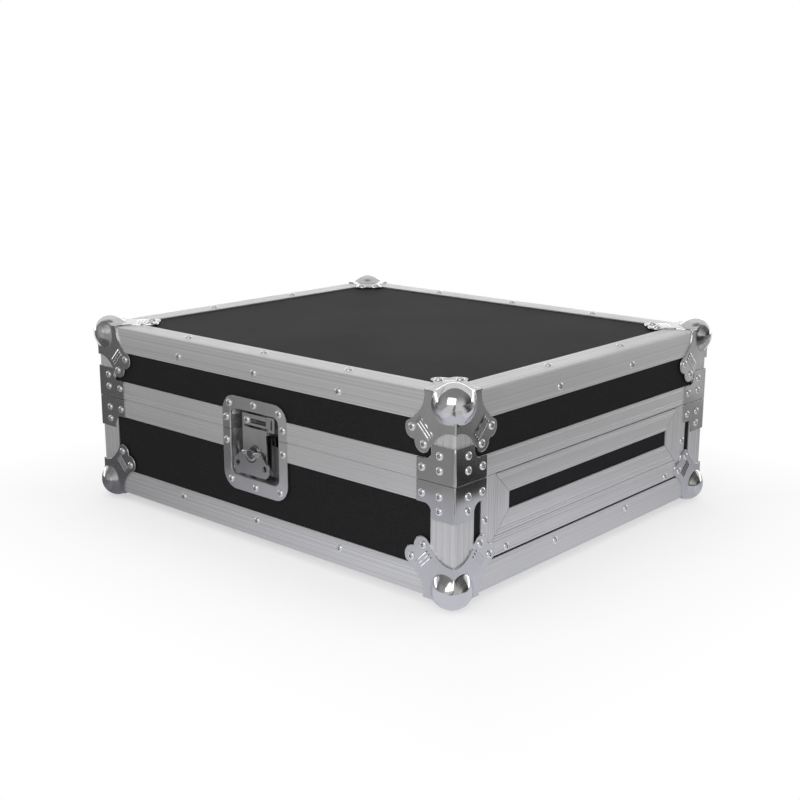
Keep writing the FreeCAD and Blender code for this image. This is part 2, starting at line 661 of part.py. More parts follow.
def make_latch_works():
    """Make the bed, hook, spindle, pin, wing and striker of a twist latch."""
    axis = "-spindle_drop"
    middle = "works_shift"
    back = "-(pan_depth - dish_skin)"

    def across(half):
        return (f"{middle} - {half}", f"{middle} + {half}")

    plate = latch_block("bed_plate", (back, f"{back} + skin"), across("bed_half"),
                        ("-bed_drop", "-bed_top"))
    guides = [latch_block(f"bed_guide_{index}", (back, "-guide_face"), along, ("-bed_drop", "-bed_top"))
              for index, along in enumerate(((f"{middle} - bed_half", f"{middle} - bed_half + skin"),
                                             (f"{middle} + bed_half - skin", f"{middle} + bed_half")))]
    boss = latch_rod("bed_boss", "x", "-boss_face", middle, axis, "boss_radius",
                     "pan_depth - dish_skin - boss_face")
    bearing = latch_rod("bed_bearing", "x", "0", middle, axis, "spindle_radius + running_play", "pan_depth")
    both_sides("latch_bed", cut("left_latch_bed", fuse("bed", plate, boss, *guides), bearing))

    face = ("-hook_face - hook_skin", "-hook_face")
    draw = latch_block("hook_plate", face, across("hook_half"), ("-hook_tail", "hook_rise"))
    nose = latch_block("hook_nose", ("-hook_face - hook_skin - nose_length", "-hook_face"),
                       across("hook_half"), ("hook_rise - nose_skin", "hook_rise"))
    room = "spindle_radius + hook_play"
    slot = [latch_rod(f"hook_slot_{index}", "x", "0", middle, up, room, "pan_depth")
            for index, up in enumerate((axis, f"{axis} + hook_travel"))]
    slot.append(latch_block("hook_slot_middle", ("-pan_depth", "0"), across(f"({room})"),
                            (axis, f"{axis} + hook_travel")))
    both_sides("latch_hook", cut("left_latch_hook", fuse("hook", draw, nose), *slot))

    stem = latch_rod("spindle_stem", "x", "-collar_back", middle, axis, "spindle_radius",
                     "spindle_foot - collar_back")
    collar = latch_rod("spindle_collar", "x", "collar_face", middle, axis, "collar_radius",
                       "collar_face + collar_back")
    head = latch_block("spindle_head", ("collar_face", "pin_out + knuckle_radius"), across("head_half"),
                       (f"{axis} - head_rise", f"{axis} + head_rise"))
    head = round_edges("spindle_head_round", head, "pin_radius",
                       lies_on(x=f"{LEFT} - pin_out - knuckle_radius"))
    eye = latch_rod("spindle_eye", "y", "pin_out", "-dish_half", axis, "pin_radius + running_play / 2",
                    "2 * dish_half")
    both_sides("latch_spindle", cut("left_latch_spindle", fuse("spindle", stem, collar, head), eye))
    pin = latch_rod("left_latch_pin", "y", "pin_out", f"{middle} - pin_half", axis, "pin_radius",
                    "2 * pin_half")
    both_sides("latch_pin", pin)

    outline = [[("-wing_half", "-wing_drop"), ("wing_half", "-wing_drop"),
                ("wing_half", "-wing_shoulder"), ("wing_neck", "wing_rise"),
                ("-wing_neck", "wing_rise"), ("-wing_half", "-wing_shoulder")]]
    leaf = bar("wing_leaf", outline, "wing_skin",
               (f"{LEFT} - pin_out - wing_skin / 2", middle, f"{PARTING} + {axis}"), Y_AXIS, Z_AXIS)
    leaf = round_edges("wing_corners", leaf, "wing_corner",
                       lambda edge: runs_along(X_AXIS)(edge) and edge.Vertexes[0].Z < size(
                           f"{PARTING} + {axis} - wing_shoulder / 2"))
    barrel = latch_rod("wing_barrel", "y", "pin_out", f"{middle} - knuckle_half", axis,
                       "knuckle_radius", "2 * knuckle_half")
    notch = latch_block("wing_notch", ("-pan_depth", "pan_depth"), across("knuckle_gap"),
                        (f"{axis} - wing_notch", f"{axis} + wing_notch"))
    bore = latch_rod("wing_bore", "y", "pin_out", "-dish_half", axis, "pin_radius + running_play",
                     "2 * dish_half")
    holes = [latch_rod(f"wing_hole_{index}", "x", "pan_depth", f"{middle} {sign} wing_hole_along",
                       f"{axis} - wing_hole_drop", "wing_hole", "2 * pan_depth")
             for index, sign in enumerate("-+")]
    both_sides("latch_wing", cut("left_latch_wing", fuse("wing", leaf, barrel), notch, bore, *holes))

    cover = latch_block("striker_cover", ("-striker_face - skin", "-striker_face"), across("bed_half"),
                        ("striker_foot", "striker_top - pan_taper"))
    ledge = latch_block("striker_ledge", (back, "-ledge_face"), across("bed_half"),
                        ("ledge_foot", "ledge_top"))
    cheeks = [latch_block(f"striker_cheek_{index}", (back, "-striker_face"), along,
                          ("ledge_foot", "striker_top - pan_taper"))
              for index, along in enumerate(((f"{middle} - bed_half", f"{middle} - bed_half + skin"),
                                             (f"{middle} + bed_half - skin", f"{middle} + bed_half")))]
    eye_tab = latch_block("eye_tab", ("-striker_face - skin", "-striker_face"),
                          (f"{middle} - eye_reach", f"{middle} - bed_half + skin"), ("eye_foot", "eye_top"))
    slot = latch_block("striker_slot", ("-pan_depth / 2", "0"),
                       (f"{middle} - slot_shift - slot_half", f"{middle} - slot_shift + slot_half"),
                       ("slot_foot", "slot_top"))
    eye_mid = f"{middle} - (eye_reach + bed_half) / 2"
    eye_slot = latch_block("eye_slot", ("-pan_depth / 2", "0"),
                           (f"{eye_mid} - eye_slot / 2", f"{eye_mid} + eye_slot / 2"),
                           ("eye_foot + eye_margin", "eye_top - eye_margin"))
    both_sides("catch_striker", cut("left_catch_striker", fuse("striker", cover, ledge, eye_tab, *cheeks),
                                    slot, eye_slot))


def make_handle():
    """Make the drop handle in the back wall: dish, bail and grip, with the bail hanging down."""
    face = "case_depth / 2"
    up = f"{FLOOR} + handle_up"
    flange = block("grip_flange_blank", ("-grip_dish_half", "grip_dish_half"), (face, f"{face} + dish_skin"),
                   (f"{up} - grip_dish_tall", f"{up} + grip_dish_tall"))
    flange = round_edges("grip_flange", flange, "grip_dish_round", runs_along(Y_AXIS))
    outer = block("grip_pan", ("-grip_pan_half", "grip_pan_half"), (f"{face} - grip_pan_depth", face),
                  (f"{up} - grip_pan_tall", f"{up} + grip_pan_tall"))
    inner = block("grip_hollow", ("-grip_pan_half + skin", "grip_pan_half - skin"),
                  (f"{face} - grip_pan_depth + skin", f"{face} + 2 * skin"),
                  (f"{up} - grip_pan_tall + skin", f"{up} + grip_pan_tall - skin"))
    inner = round_edges("grip_hollow_round", inner, "bail_radius", runs_along(Y_AXIS))
    pivot = f"{up} + bail_pivot"
    depth = f"{face} - bail_depth"
    bearing = rod("grip_bearing", "x", ("-case_width / 2", depth, pivot), "bail_radius + running_play",
                  "case_width")
    node(cut("handle_dish", fuse("grip_dish", flange, outer), inner, bearing))

    low = f"{pivot} - bail_reach"
    turned = "bail_leg - bail_bend"
    bar_rod = rod("bail_bar", "x", (f"-({turned})", depth, low), "bail_radius", f"2 * ({turned})")
    leg = rod("bail_leg_rod", "z", ("-bail_leg", depth, f"{low} + bail_bend"), "bail_radius",
              "bail_reach - 2 * bail_bend")
    stub = rod("bail_stub", "x", ("-bail_end", depth, pivot), "bail_radius",
               "bail_end - bail_leg - bail_bend")
    lower_bend = doc.addObject("Part::Torus", "bail_lower_bend")
    upper_bend = doc.addObject("Part::Torus", "bail_upper_bend")
    for bend in (lower_bend, upper_bend):
        bind(bend, "Radius1", "bail_bend")
        bind(bend, "Radius2", "bail_radius")
        bend.Angle3 = 90
    place(lower_bend, (f"-({turned})", depth, f"{low} + bail_bend"), turn(-X_AXIS, -Z_AXIS))
    place(upper_bend, ("-bail_leg - bail_bend", depth, f"{pivot} - bail_bend"), turn(X_AXIS, Z_AXIS))
    half = fuse("bail_half", leg, stub, lower_bend, upper_bend)
    node(fuse("handle_bail", bar_rod, half, mirror("bail_other_half", half, X_AXIS)))
    sleeve = rod("grip_sleeve", "x", ("-grip_half", depth, low), "grip_radius", "2 * grip_half")
    sleeve = round_edges("grip_sleeve_round", sleeve, "skin", lambda edge: len(edge.Vertexes) == 1)
    core = rod("grip_core", "x", ("-case_width / 2", depth, low), "bail_radius", "case_width")
    node(cut("handle_grip", sleeve, core))


def rivet_shape():
    """Make one blind rivet head, a low dome with a mandrel hole, sitting on the plane z = 0."""
    radius = "(rivet_radius * rivet_radius + rivet_rise * rivet_rise) / (2 * rivet_rise)"
    dome = doc.addObject("Part::Sphere", "rivet_dome")
    bind(dome, "Radius", radius)
    place(dome, ("0", "0", f"rivet_rise - {radius}"))
    rim = "2 * rivet_radius"
    above = block("rivet_above", (f"-{rim}", rim), (f"-{rim}", rim), ("0", rim))
    cap = doc.addObject("Part::Common", "rivet_cap")
    cap.Base = dome
    cap.Tool = above
    bore = rod("rivet_bore", "z", ("0", "0", "rivet_rise - rivet_bore_depth"), "rivet_bore", rim)
    rivet = cut("rivet", cap, bore)
    doc.recompute()
    return rivet.Shape


def rivet_seats(level, inward, band, dish_rivets):
    """List where rivets sit on one half of the case.

    level is the half's flat outer face, inward is +1 or -1 along Z from it, and band is the plane of
    the parting on this half. Each seat is a point and the direction that the head faces.
    """
    wide, deep = size("case_width / 2"), size("case_depth / 2")
    plate = size("plate")
    up = FreeCAD.Vector(0, 0, -inward)
    seats = []

    def seat(x, y, z, facing, lift=0.0):
        seats.append((FreeCAD.Vector(x, y, z) + facing * lift, facing))

    for sign in (-1, 1):
        for x in EDGE_RIVETS_ALONG_X:
            seat(x, sign * deep, level + inward * EDGE_RIVET_SIDE, Y_AXIS * sign)
            seat(x, sign * (deep - EDGE_RIVET_FLAT), level, up)
        for y in EDGE_RIVETS_ALONG_Y:
            seat(sign * wide, y, level + inward * EDGE_RIVET_SIDE, X_AXIS * sign)
            seat(sign * (wide - EDGE_RIVET_FLAT), y, level, up)
        for along, above in dish_rivets:
            seat(sign * wide, along, size(PARTING) + above, X_AXIS * sign, size("dish_skin"))
    for side in (-1, 1):
        for end in (-1, 1):
            for far, near in CORNER_RIVETS:
                x, y = side * (wide - far), end * (deep - near)
                seat(x, y, level, up, plate)
                seat(x, end * deep, level + inward * near, Y_AXIS * end, plate)
                seat(side * wide, end * (deep - far), level + inward * near, X_AXIS * side, plate)
            for far, drop in BRACE_RIVETS:
                z = band - inward * drop
                seat(side * wide, end * (deep - far), z, X_AXIS * side, plate)
                seat(side * (wide - far), end * deep, z, Y_AXIS * end, plate)
    return seats


def trim_and_handle_seats():
    """List where rivets sit on the opening's trims and on the handle's dish."""
    wide, deep = size("case_width / 2"), size("case_depth / 2")
    floor = size(FLOOR)
    seats = []
    for far, height in (TRIM_SIDE_RIVET, TRIM_SILL_RIVET):
        for sign in (-1, 1):
            seats.append((FreeCAD.Vector(sign * (wide - far), -deep, floor + height), -Y_AXIS))
    outside = deep + size("dish_skin")
    for along, above in HANDLE_RIVETS:
        seats.append((FreeCAD.Vector(along, outside, floor + size("handle_up") + above), Y_AXIS))
    return seats


def make_rivets():
    """Place the rivet heads of the base and of the lid, each group in one piece's file."""
    head = rivet_shape()
    base = rivet_seats(size(FLOOR), 1, size(PARTING), LATCH_RIVETS) + trim_and_handle_seats()
    lid = rivet_seats(size(TOP), -1, size(LID_RIM), CATCH_RIVETS)
    for name, seats in (("base_rivets", base), ("lid_rivets", lid)):
        heads = []
        for point, facing in seats:
            copy = head.copy()
            copy.Placement = FreeCAD.Placement(point, FreeCAD.Rotation(Z_AXIS, facing))
            heads.append(copy)
        rivets = doc.addObject("Part::Feature", name)
        rivets.Shape = Part.makeCompound(heads)
        rivets.Placement = FreeCAD.Placement()
        node(rivets)


def write_parts():
    """Check every object and every piece, then write each piece to its own file."""
    doc.recompute()
    for item in doc.Objects:
        if "Invalid" in item.State or "Error" in item.State:
            raise RuntimeError(f"{item.Name} did not compute: {item.State}")
    for item in nodes:
        if item.Shape.isNull() or not item.Shape.isValid() or not item.Shape.Solids:
            raise RuntimeError(f"{item.Label} has no valid solid")
    os.makedirs("parts", exist_ok=True)
    for item in nodes:
        item.Shape.exportStep(f"parts/{item.Label}.step")
        print(f"{item.Label}: {len(item.Shape.Solids)} solid(s), {item.Shape.Volume / 1000:.1f} cm3")


make_edges()
make_rims()
make_boards()
make_ball_corners()
make_braces()
make_opening_trims()
make_access_panel()
make_foam()
make_latch_dishes()
make_latch_works()
make_handle()
make_rivets()
write_parts()
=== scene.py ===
"""Flight case for a mixing desk, dressed for rendering.

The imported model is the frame. The boards, braces and latch works keep their solids and get finishes.
The extrusions, pressed corners, rivets, latch rims, foam and grip are surfaces worked out here. Sizes
are millimetres in the part's frame (+Z up, access panel on -Y, latches on -X and +X) and become
metres when a mesh is made. The studio's places are metres.
"""

import json
import logging
import math
from dataclasses import dataclass
from enum import Enum

import bmesh
import bpy
import numpy as np
from mathutils import Matrix, Vector

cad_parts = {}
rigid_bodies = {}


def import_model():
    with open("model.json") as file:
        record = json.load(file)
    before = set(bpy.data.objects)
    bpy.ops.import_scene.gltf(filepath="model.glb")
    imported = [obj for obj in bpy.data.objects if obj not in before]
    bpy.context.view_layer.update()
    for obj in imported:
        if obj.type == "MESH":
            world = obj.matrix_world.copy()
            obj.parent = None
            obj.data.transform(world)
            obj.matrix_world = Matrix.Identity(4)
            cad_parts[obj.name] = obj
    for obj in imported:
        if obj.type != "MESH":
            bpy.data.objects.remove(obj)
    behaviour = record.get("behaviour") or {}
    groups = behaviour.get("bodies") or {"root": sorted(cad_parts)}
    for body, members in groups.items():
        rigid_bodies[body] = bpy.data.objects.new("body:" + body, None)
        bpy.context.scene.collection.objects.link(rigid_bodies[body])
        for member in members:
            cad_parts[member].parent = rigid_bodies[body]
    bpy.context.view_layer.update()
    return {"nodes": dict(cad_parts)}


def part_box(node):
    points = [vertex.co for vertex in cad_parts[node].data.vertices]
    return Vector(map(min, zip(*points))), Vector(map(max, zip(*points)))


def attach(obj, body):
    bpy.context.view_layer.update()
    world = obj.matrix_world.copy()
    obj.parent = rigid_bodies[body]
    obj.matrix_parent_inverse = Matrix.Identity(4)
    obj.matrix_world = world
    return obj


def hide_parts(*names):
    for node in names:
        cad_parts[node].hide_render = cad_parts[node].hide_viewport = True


for leftover in list(bpy.data.objects):
    bpy.data.objects.remove(leftover)
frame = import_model()

MM = 0.001
AXES = np.eye(3)
Array = np.ndarray
Socket = bpy.types.NodeSocket
VALUE, VECTOR = "NodeSocketFloat", "NodeSocketVector"
LOG = logging.getLogger("flight_case")


class Half(Enum):
    """The two halves of the case, named as the bodies they ride on."""

    BASE = "base"
    LID = "lid"


class Side(Enum):
    """The two latch sides of the case, by the sign of X."""

    LEFT = -1
    RIGHT = 1


class Run(Enum):
    """The way an extrusion runs, with the direction across its drawn lines."""

    ALONG_X = (0.0, 1.0, 1.0)
    ALONG_Y = (1.0, 0.0, 1.0)
    ALONG_Z = (1.0, 1.0, 0.0)


class Ends(Enum):
    """How the first and the last end of a bar are cut, each as slopes over the section's u and v."""

    SQUARE = ((0, 0), (0, 0))
    MITRED = ((1, 0), (-1, 0))
    FIRST_MITRED = ((1, 0), (0, 0))
    LAST_MITRED = ((0, 0), (-1, 0))
    FRAMED = ((0, -1), (0, 1))
    FOOT_FRAMED = ((0, -1), (0, 0))


@dataclass(frozen=True)
class CaseSizes:
    """Main sizes of the case over its extrusions, as the solids have them."""

    width: float = 480.0
    depth: float = 562.0
    height: float = 208.0
    floor: float = 10.0
    base_height: float = 119.0
    gap: float = 0.5
    plate: float = 1.6

    @property
    def half(self) -> Array:
        """Half the width and half the depth."""
        return np.array([self.width, self.depth]) / 2

    @property
    def parting(self) -> float:
        """Height of the base's rim."""
        return self.floor + self.base_height

    @property
    def lid_rim(self) -> float:
        """Height of the lid's rim."""
        return self.parting + self.gap

    @property
    def top(self) -> float:
        """Height of the lid's top extrusions."""
        return self.floor + self.height


CASE = CaseSizes()


def unit(vectors: Array) -> Array:
    """Scale vectors, along the last axis, to length one."""
    return vectors / np.linalg.norm(vectors, axis=-1, keepdims=True)


def circle(sides: int) -> Array:
    """Give the angles of a ring's points, without the last, which is the first again."""
    return np.linspace(0, 2 * np.pi, sides + 1)[:-1]


def smooth_step(low: float, high: float, values: Array) -> Array:
    """Rise from 0 at low to 1 at high along 3t^2 - 2t^3."""
    t = np.clip((values - low) / (high - low), 0, 1)
    return t * t * (3 - 2 * t)


def rounded(corners: Array, radii: Array | float, steps: int = 3) -> Array:
    """Round the corners of a closed polygon.

    Each corner becomes an arc tangent to its two sides: its centre lies on the corner's bisector at
    radius / sin(half angle), and the arc swings from one foot to the other.

    Args:
        corners: polygon corners, shape (n, 2).
        radii: one radius, or one for each corner.
        steps: sides of each arc.

    Returns:
        The rounded outline, shape (n * (steps + 1), 2).
    """
    back = unit(np.roll(corners, 1, axis=0) - corners)
    ahead = unit(np.roll(corners, -1, axis=0) - corners)
    radius = np.broadcast_to(np.asarray(radii, float), len(corners))[:, None]
    half = np.arccos(np.clip((back * ahead).sum(-1, keepdims=True), -1, 1)) / 2
    centre = corners + unit(back + ahead) * radius / np.sin(half)
    reach = radius / np.tan(half)
    start, stop = corners + back * reach - centre, corners + ahead * reach - centre
    swing = np.pi - 2 * half
    share = np.linspace(0, 1, steps + 1)[None, :, None]
    arc = (np.sin((1 - share) * swing[:, None]) * start[:, None]
           + np.sin(share * swing[:, None]) * stop[:, None]) / np.sin(swing)[:, None]
    return (arc + centre[:, None]).reshape(-1, 2)


def rounded_loops(half_x: Array, half_y: Array, radii: Array, steps: int) -> Array:
    """Give rounded rectangles, one for each row, about the origin.

    Each loop is four quarter circles about the centres (half_x - r, half_y - r) in the four quadrants.

    Args:
        half_x: half widths, shape (rows,).
        half_y: half heights, shape (rows,).
        radii: corner radii, shape (rows,).
        steps: sides of each quarter circle.

    Returns:
        Points in the plane, shape (rows, 4 * (steps + 1), 2).
    """
    quarter = np.linspace(0, np.pi / 2, steps + 1)
    angles = (quarter[None, :] + np.arange(4)[:, None] * np.pi / 2).ravel()
    signs_x = np.repeat([1, -1, -1, 1], steps + 1)
    signs_y = np.repeat([1, 1, -1, -1], steps + 1)
    r = radii[:, None]
    x = signs_x * (half_x[:, None] - r) + r * np.cos(angles)
    y = signs_y * (half_y[:, None] - r) + r * np.sin(angles)
    return np.stack([x, y], -1)


class Shell:
    """A mesh in the making: grids of points and flat outlines, in millimetres."""

    def __init__(self) -> None:
        """Start with no points."""
        self.points: list[Array] = []
        self.faces: list[Array] = []
        self.count = 0

    def _take(self, points: Array) -> Array:
        """Store points.

        Args:
            points: any grid of points, shape (..., 3).

        Returns:
            The points' numbers, in the grid's own shape.
        """
        flat = points.reshape(-1, 3)
        numbers = np.arange(len(flat)) + self.count
        self.points.append(flat)
        self.count += len(flat)
        return numbers.reshape(points.shape[:-1])

    def grid(self, points: Array, close_rows: bool = False, close_columns: bool = False) -> "Shell":
        """Add a surface as quads between neighbouring points of a grid.

        Args:
            points: shape (rows, columns, 3).
            close_rows: join the last row to the first.
            close_columns: join the last column to the first.

        Returns:
            This shell.
        """
        number = self._take(points)
        number = np.vstack([number, number[:1]]) if close_rows else number
        number = np.hstack([number, number[:, :1]]) if close_columns else number
        quads = np.stack([number[:-1, :-1], number[1:, :-1], number[1:, 1:], number[:-1, 1:]], -1)
        self.faces.append(quads.reshape(-1, 4))
        return self

    def outline(self, points: Array) -> "Shell":
        """Add one flat face with the given corners, shape (n, 3)."""
        self.faces.append(self._take(points)[None])
        return self

    def copies(self, part: "Shell", turns: Array, places: Array) -> "Shell":
        """Add turned and moved copies of another shell.

        Args:
            part: the shell to copy.
            turns: matrices whose columns are the images of the axes, shape (k, 3, 3).
            places: where the part's origin goes, shape (k, 3).

        Returns:
            This shell.
        """
        points = np.vstack(part.points)
        offsets = self.count + np.arange(len(places)) * len(points)
        self.faces += [(faces[None] + offsets[:, None, None]).reshape(-1, faces.shape[1])
                       for faces in part.faces]
        self._take(np.einsum("kij,nj->kni", turns, points) + places[:, None])
        return self

    def build(self, name: str, finish: bpy.types.Material, sharp: float = 34.0) -> bpy.types.Object:
        """Make the object: doubles merged, faces turned outwards and creases left sharp.

        Args:
            name: the piece's name.
            finish: its material.
            sharp: edges that turn more than this many degrees stay sharp.

        Returns:
            The new object, at the origin.
        """
        mesh = bpy.data.meshes.new(name)
        faces = [face for group in self.faces for face in group.tolist()]
        mesh.from_pydata(np.vstack(self.points) * MM, [], faces)
        work = bmesh.new()
        work.from_mesh(mesh)
        bmesh.ops.remove_doubles(work, verts=work.verts, dist=1e-6)
        bmesh.ops.dissolve_degenerate(work, edges=work.edges, dist=1e-6)
        bmesh.ops.recalc_face_normals(work, faces=work.faces)
        work.to_mesh(mesh)
        work.free()
        mesh.polygons.foreach_set("use_smooth", np.ones(len(mesh.polygons), bool))
        mesh.set_sharp_from_angle(angle=math.radians(sharp))
        mesh.materials.append(finish)
        piece = bpy.data.objects.new(name, mesh)
        bpy.context.scene.collection.objects.link(piece)
        return piece


def joined(*shells: Shell) -> Shell:
    """Put shells side by side in one.

    Args:
        shells: the shells, each in its place.

    Returns:
        One shell with copies of them all.
    """
    whole = Shell()
    for shell in shells:
        whole.copies(shell, AXES[None], np.zeros((1, 3)))
    return whole


def mount(piece: bpy.types.Object, body: str, slot: str, *nodes: str) -> bpy.types.Object:
    """Let a piece ride on a body and hide the solids that it stands for.

    Args:
        piece: the finished object.
        body: the body it moves with.
        slot: the record's material slot; not used.
        nodes: the solids that it replaces.

    Returns:
        The piece.
    """
    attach(piece, body)
    if nodes:
        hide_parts(*nodes)
    LOG.info("%s rides on %s, %d faces", piece.name, body, len(piece.data.polygons))
    return piece


class Recipe:
    """Adds nodes to one tree and links them."""

    def __init__(self, tree: bpy.types.NodeTree) -> None:
        """Work on a tree."""
        self.tree = tree

    def add(self, kind: str, inputs: dict | None = None, **settings: object) -> bpy.types.Node:
        """Add a node.

        Args:
            kind: the node's type name.
            inputs: socket names or numbers, each with a value or with a socket to link.
            settings: properties of the node.

        Returns:
            The node.
        """
        node = self.tree.nodes.new(kind)
        for name, value in settings.items():
            setattr(node, name, value)
        for key, value in (inputs or {}).items():
            if isinstance(value, Socket):
                self.tree.links.new(value, node.inputs[key])
            else:
                node.inputs[key].default_value = value
        return node

    def value(self, operation: str, *terms: object) -> Socket:
        """Work out a value from sockets and numbers with one Math node."""
        return self.add("ShaderNodeMath", dict(enumerate(terms)), operation=operation).outputs[0]

    def vector(self, operation: str, *terms: object) -> Socket:
        """Work out a vector from vectors with one Vector Math node."""
        node = self.add("ShaderNodeVectorMath", dict(enumerate(terms)), operation=operation)
        return node.outputs["Vector"]

    def scaled(self, vector: object, scale: object) -> Socket:
        """Scale a vector or a colour."""
        node = self.add("ShaderNodeVectorMath", {0: vector, "Scale": scale}, operation="SCALE")
        return node.outputs["Vector"]

    def along(self, vector: object, direction: object) -> Socket:
        """Measure a vector along a direction."""
        node = self.add("ShaderNodeVectorMath", {0: vector, 1: direction}, operation="DOT_PRODUCT")
        return node.outputs["Value"]

    def span(self, value: object, low: float, high: float, start: float = 0.0, stop: float = 1.0) -> Socket:
        """Map low..high onto start..stop, clamped."""
        ends = {"From Min": low, "From Max": high, "To Min": start, "To Max": stop}
        return self.add("ShaderNodeMapRange", {"Value": value, **ends}).outputs["Result"]

    def mix(self, share: object, first: object, second: object) -> Socket:
        """Mix two values by a share."""
        return self.add("ShaderNodeMix", {"Factor": share, "A": first, "B": second}).outputs["Result"]

    def blend(self, share: object, first: tuple, second: tuple) -> Socket:
        """Mix two colours by a share."""
        inputs = {"Factor": share, "A": (*first, 1), "B": (*second, 1)}
        return self.add("ShaderNodeMix", inputs, data_type="RGBA").outputs["Result"]


def effect_group(name: str, inputs: dict[str, str], outputs: dict[str, str]) -> tuple[Recipe, object, object]:
    """Start a shader node group with named sockets.

    Args:
        name: the group's name.
        inputs: socket names with their types.
        outputs: socket names with their types.

    Returns:
        The recipe for its tree, the group's input node and its output node.
    """
    tree = bpy.data.node_groups.new(name, "ShaderNodeTree")
    for direction, sockets in (("INPUT", inputs), ("OUTPUT", outputs)):
        for socket, kind in sockets.items():
            tree.interface.new_socket(socket, in_out=direction, socket_type=kind)
    recipe = Recipe(tree)
    return recipe, recipe.add("NodeGroupInput"), recipe.add("NodeGroupOutput")


class Effects:
    """Surface effects that several finishes share, each built once as a node group."""

    def __init__(self) -> None:
        """Build the groups."""
        self.lines = self._drawn_lines()
        self.smudges = self._smudges()
        self.grain = self._grain()
        # painted shade in the latch hollows, darker with depth
        self.recess = self._painted_recess_shade()

    @staticmethod
    def _drawn_lines() -> bpy.types.NodeTree:
        """Make the lines along a drawn bar: fine and broad one-way noise of the distance across it.

        Returns:
            The group.
        """
        recipe, given, made = effect_group("DrawnLines", {"Vector": VECTOR, "Across": VECTOR, "Lines": VALUE},
                                           {"Height": VALUE, "Streak": VALUE})
        across = recipe.along(given.outputs["Vector"], given.outputs["Across"])
        place = recipe.value("MULTIPLY", across, given.outputs["Lines"])
        noise = {"W": place, "Detail": 3.0, "Roughness": 0.65}
        fine, broad = [recipe.add("ShaderNodeTexNoise", {**noise, "Scale": scale},
                                  noise_dimensions="1D").outputs[0] for scale in (1.0, 0.24)]
        streak = recipe.span(recipe.mix(0.65, fine, broad), 0.35, 0.65)
        recipe.tree.links.new(fine, made.inputs["Height"])
        recipe.tree.links.new(streak, made.inputs["Streak"])
        return recipe.tree

    @staticmethod
    def _smudges() -> bpy.types.NodeTree:
        """Make broad soft patches, as handling leaves on metal and laminate.

        Returns:
            The group.
        """
        recipe, given, made = effect_group("Smudges", {"Vector": VECTOR, "Scale": VALUE}, {"Amount": VALUE})
        cloud = recipe.add("ShaderNodeTexNoise", {
            "Vector": given.outputs["Vector"], "Scale": given.outputs["Scale"], "Detail": 5.0,
            "Roughness": 0.55, "Distortion": 0.6}).outputs[0]
        recipe.tree.links.new(recipe.span(cloud, 0.35, 0.7), made.inputs["Amount"])
        return recipe.tree

    @staticmethod
    def _grain() -> bpy.types.NodeTree:
        """Make a pebbled grain: rounded cells with finer noise over them.

        Returns:
            The group.
        """
        recipe, given, made = effect_group("PebbledGrain", {"Vector": VECTOR, "Scale": VALUE},
                                           {"Height": VALUE})
        place = {"Vector": given.outputs["Vector"], "Scale": given.outputs["Scale"]}
        cells = recipe.add("ShaderNodeTexVoronoi", place, feature="F1").outputs["Distance"]
        noise = recipe.add("ShaderNodeTexNoise", {**place, "Detail": 3.0}).outputs[0]
        recipe.tree.links.new(recipe.value("MULTIPLY_ADD", cells, -0.7, noise), made.inputs["Height"])
        return recipe.tree

    @staticmethod
    def _painted_recess_shade() -> bpy.types.NodeTree:
        """Make painted shade in the hollows of the two sides: 1 at the faces, falling with the depth.

        Returns:
            The group.
        """
        recipe, given, made = effect_group("Recess", {"Vector": VECTOR, "Least": VALUE}, {"Shade": VALUE})
        out = recipe.value("ABSOLUTE", recipe.along(given.outputs["Vector"], (1, 0, 0)))
        face, full, clear = CASE.half[0] * MM, 0.0125, 0.003
        shade = recipe.span(out, face - full, face - clear)
        recipe.tree.links.new(recipe.mix(shade, given.outputs["Least"], 1.0), made.inputs["Shade"])
        return recipe.tree


class Coat:
    """One material under way: its recipe, its shader and the coordinates that its patterns read."""

    def __init__(self, name: str) -> None:
        """Start a material with a shader on its output.

        Args:
            name: the material's name.
        """
        self.material = bpy.data.materials.new(name)
        self.material.use_nodes = True
        self.material.node_tree.nodes.clear()
        self.recipe = Recipe(self.material.node_tree)
        self.shader = self.recipe.add("ShaderNodeBsdfPrincipled")
        self.recipe.add("ShaderNodeOutputMaterial", {"Surface": self.shader.outputs[0]})
        self.place = self.recipe.add("ShaderNodeTexCoord").outputs["Object"]

    def effect(self, group: bpy.types.NodeTree, **inputs: object) -> bpy.types.Node:
        """Place a shared effect that reads this material's coordinates."""
        return self.recipe.add("ShaderNodeGroup", {"Vector": self.place, **inputs}, node_tree=group)

    def smudged(self, effects: Effects, scale: float, ends: tuple) -> Socket:
        """Give a value that smudges carry from the first end to the second."""
        amount = self.effect(effects.smudges, Scale=scale).outputs["Amount"]
        return self.recipe.span(amount, 0.0, 1.0, *ends)

    def set(self, **sockets: object) -> None:
        """Set or link the shader's sockets.

        Args:
            sockets: values or sockets by the shader's socket names, with underscores for spaces.
        """
        for name, value in sockets.items():
            socket = self.shader.inputs[name.replace("_", " ")]
            if isinstance(value, Socket):
                self.recipe.tree.links.new(value, socket)
            else:
                socket.default_value = value

    def relief(self, height: Socket, strength: float, depth: float) -> None:
        """Raise the surface by a height, depth in millimetres."""
        bump = {"Strength": strength, "Distance": depth * MM, "Height": height}
        self.set(Normal=self.recipe.add("ShaderNodeBump", bump).outputs["Normal"])


def grey(level: float) -> tuple:
    """Give a neutral colour."""
    return (level, level, level)


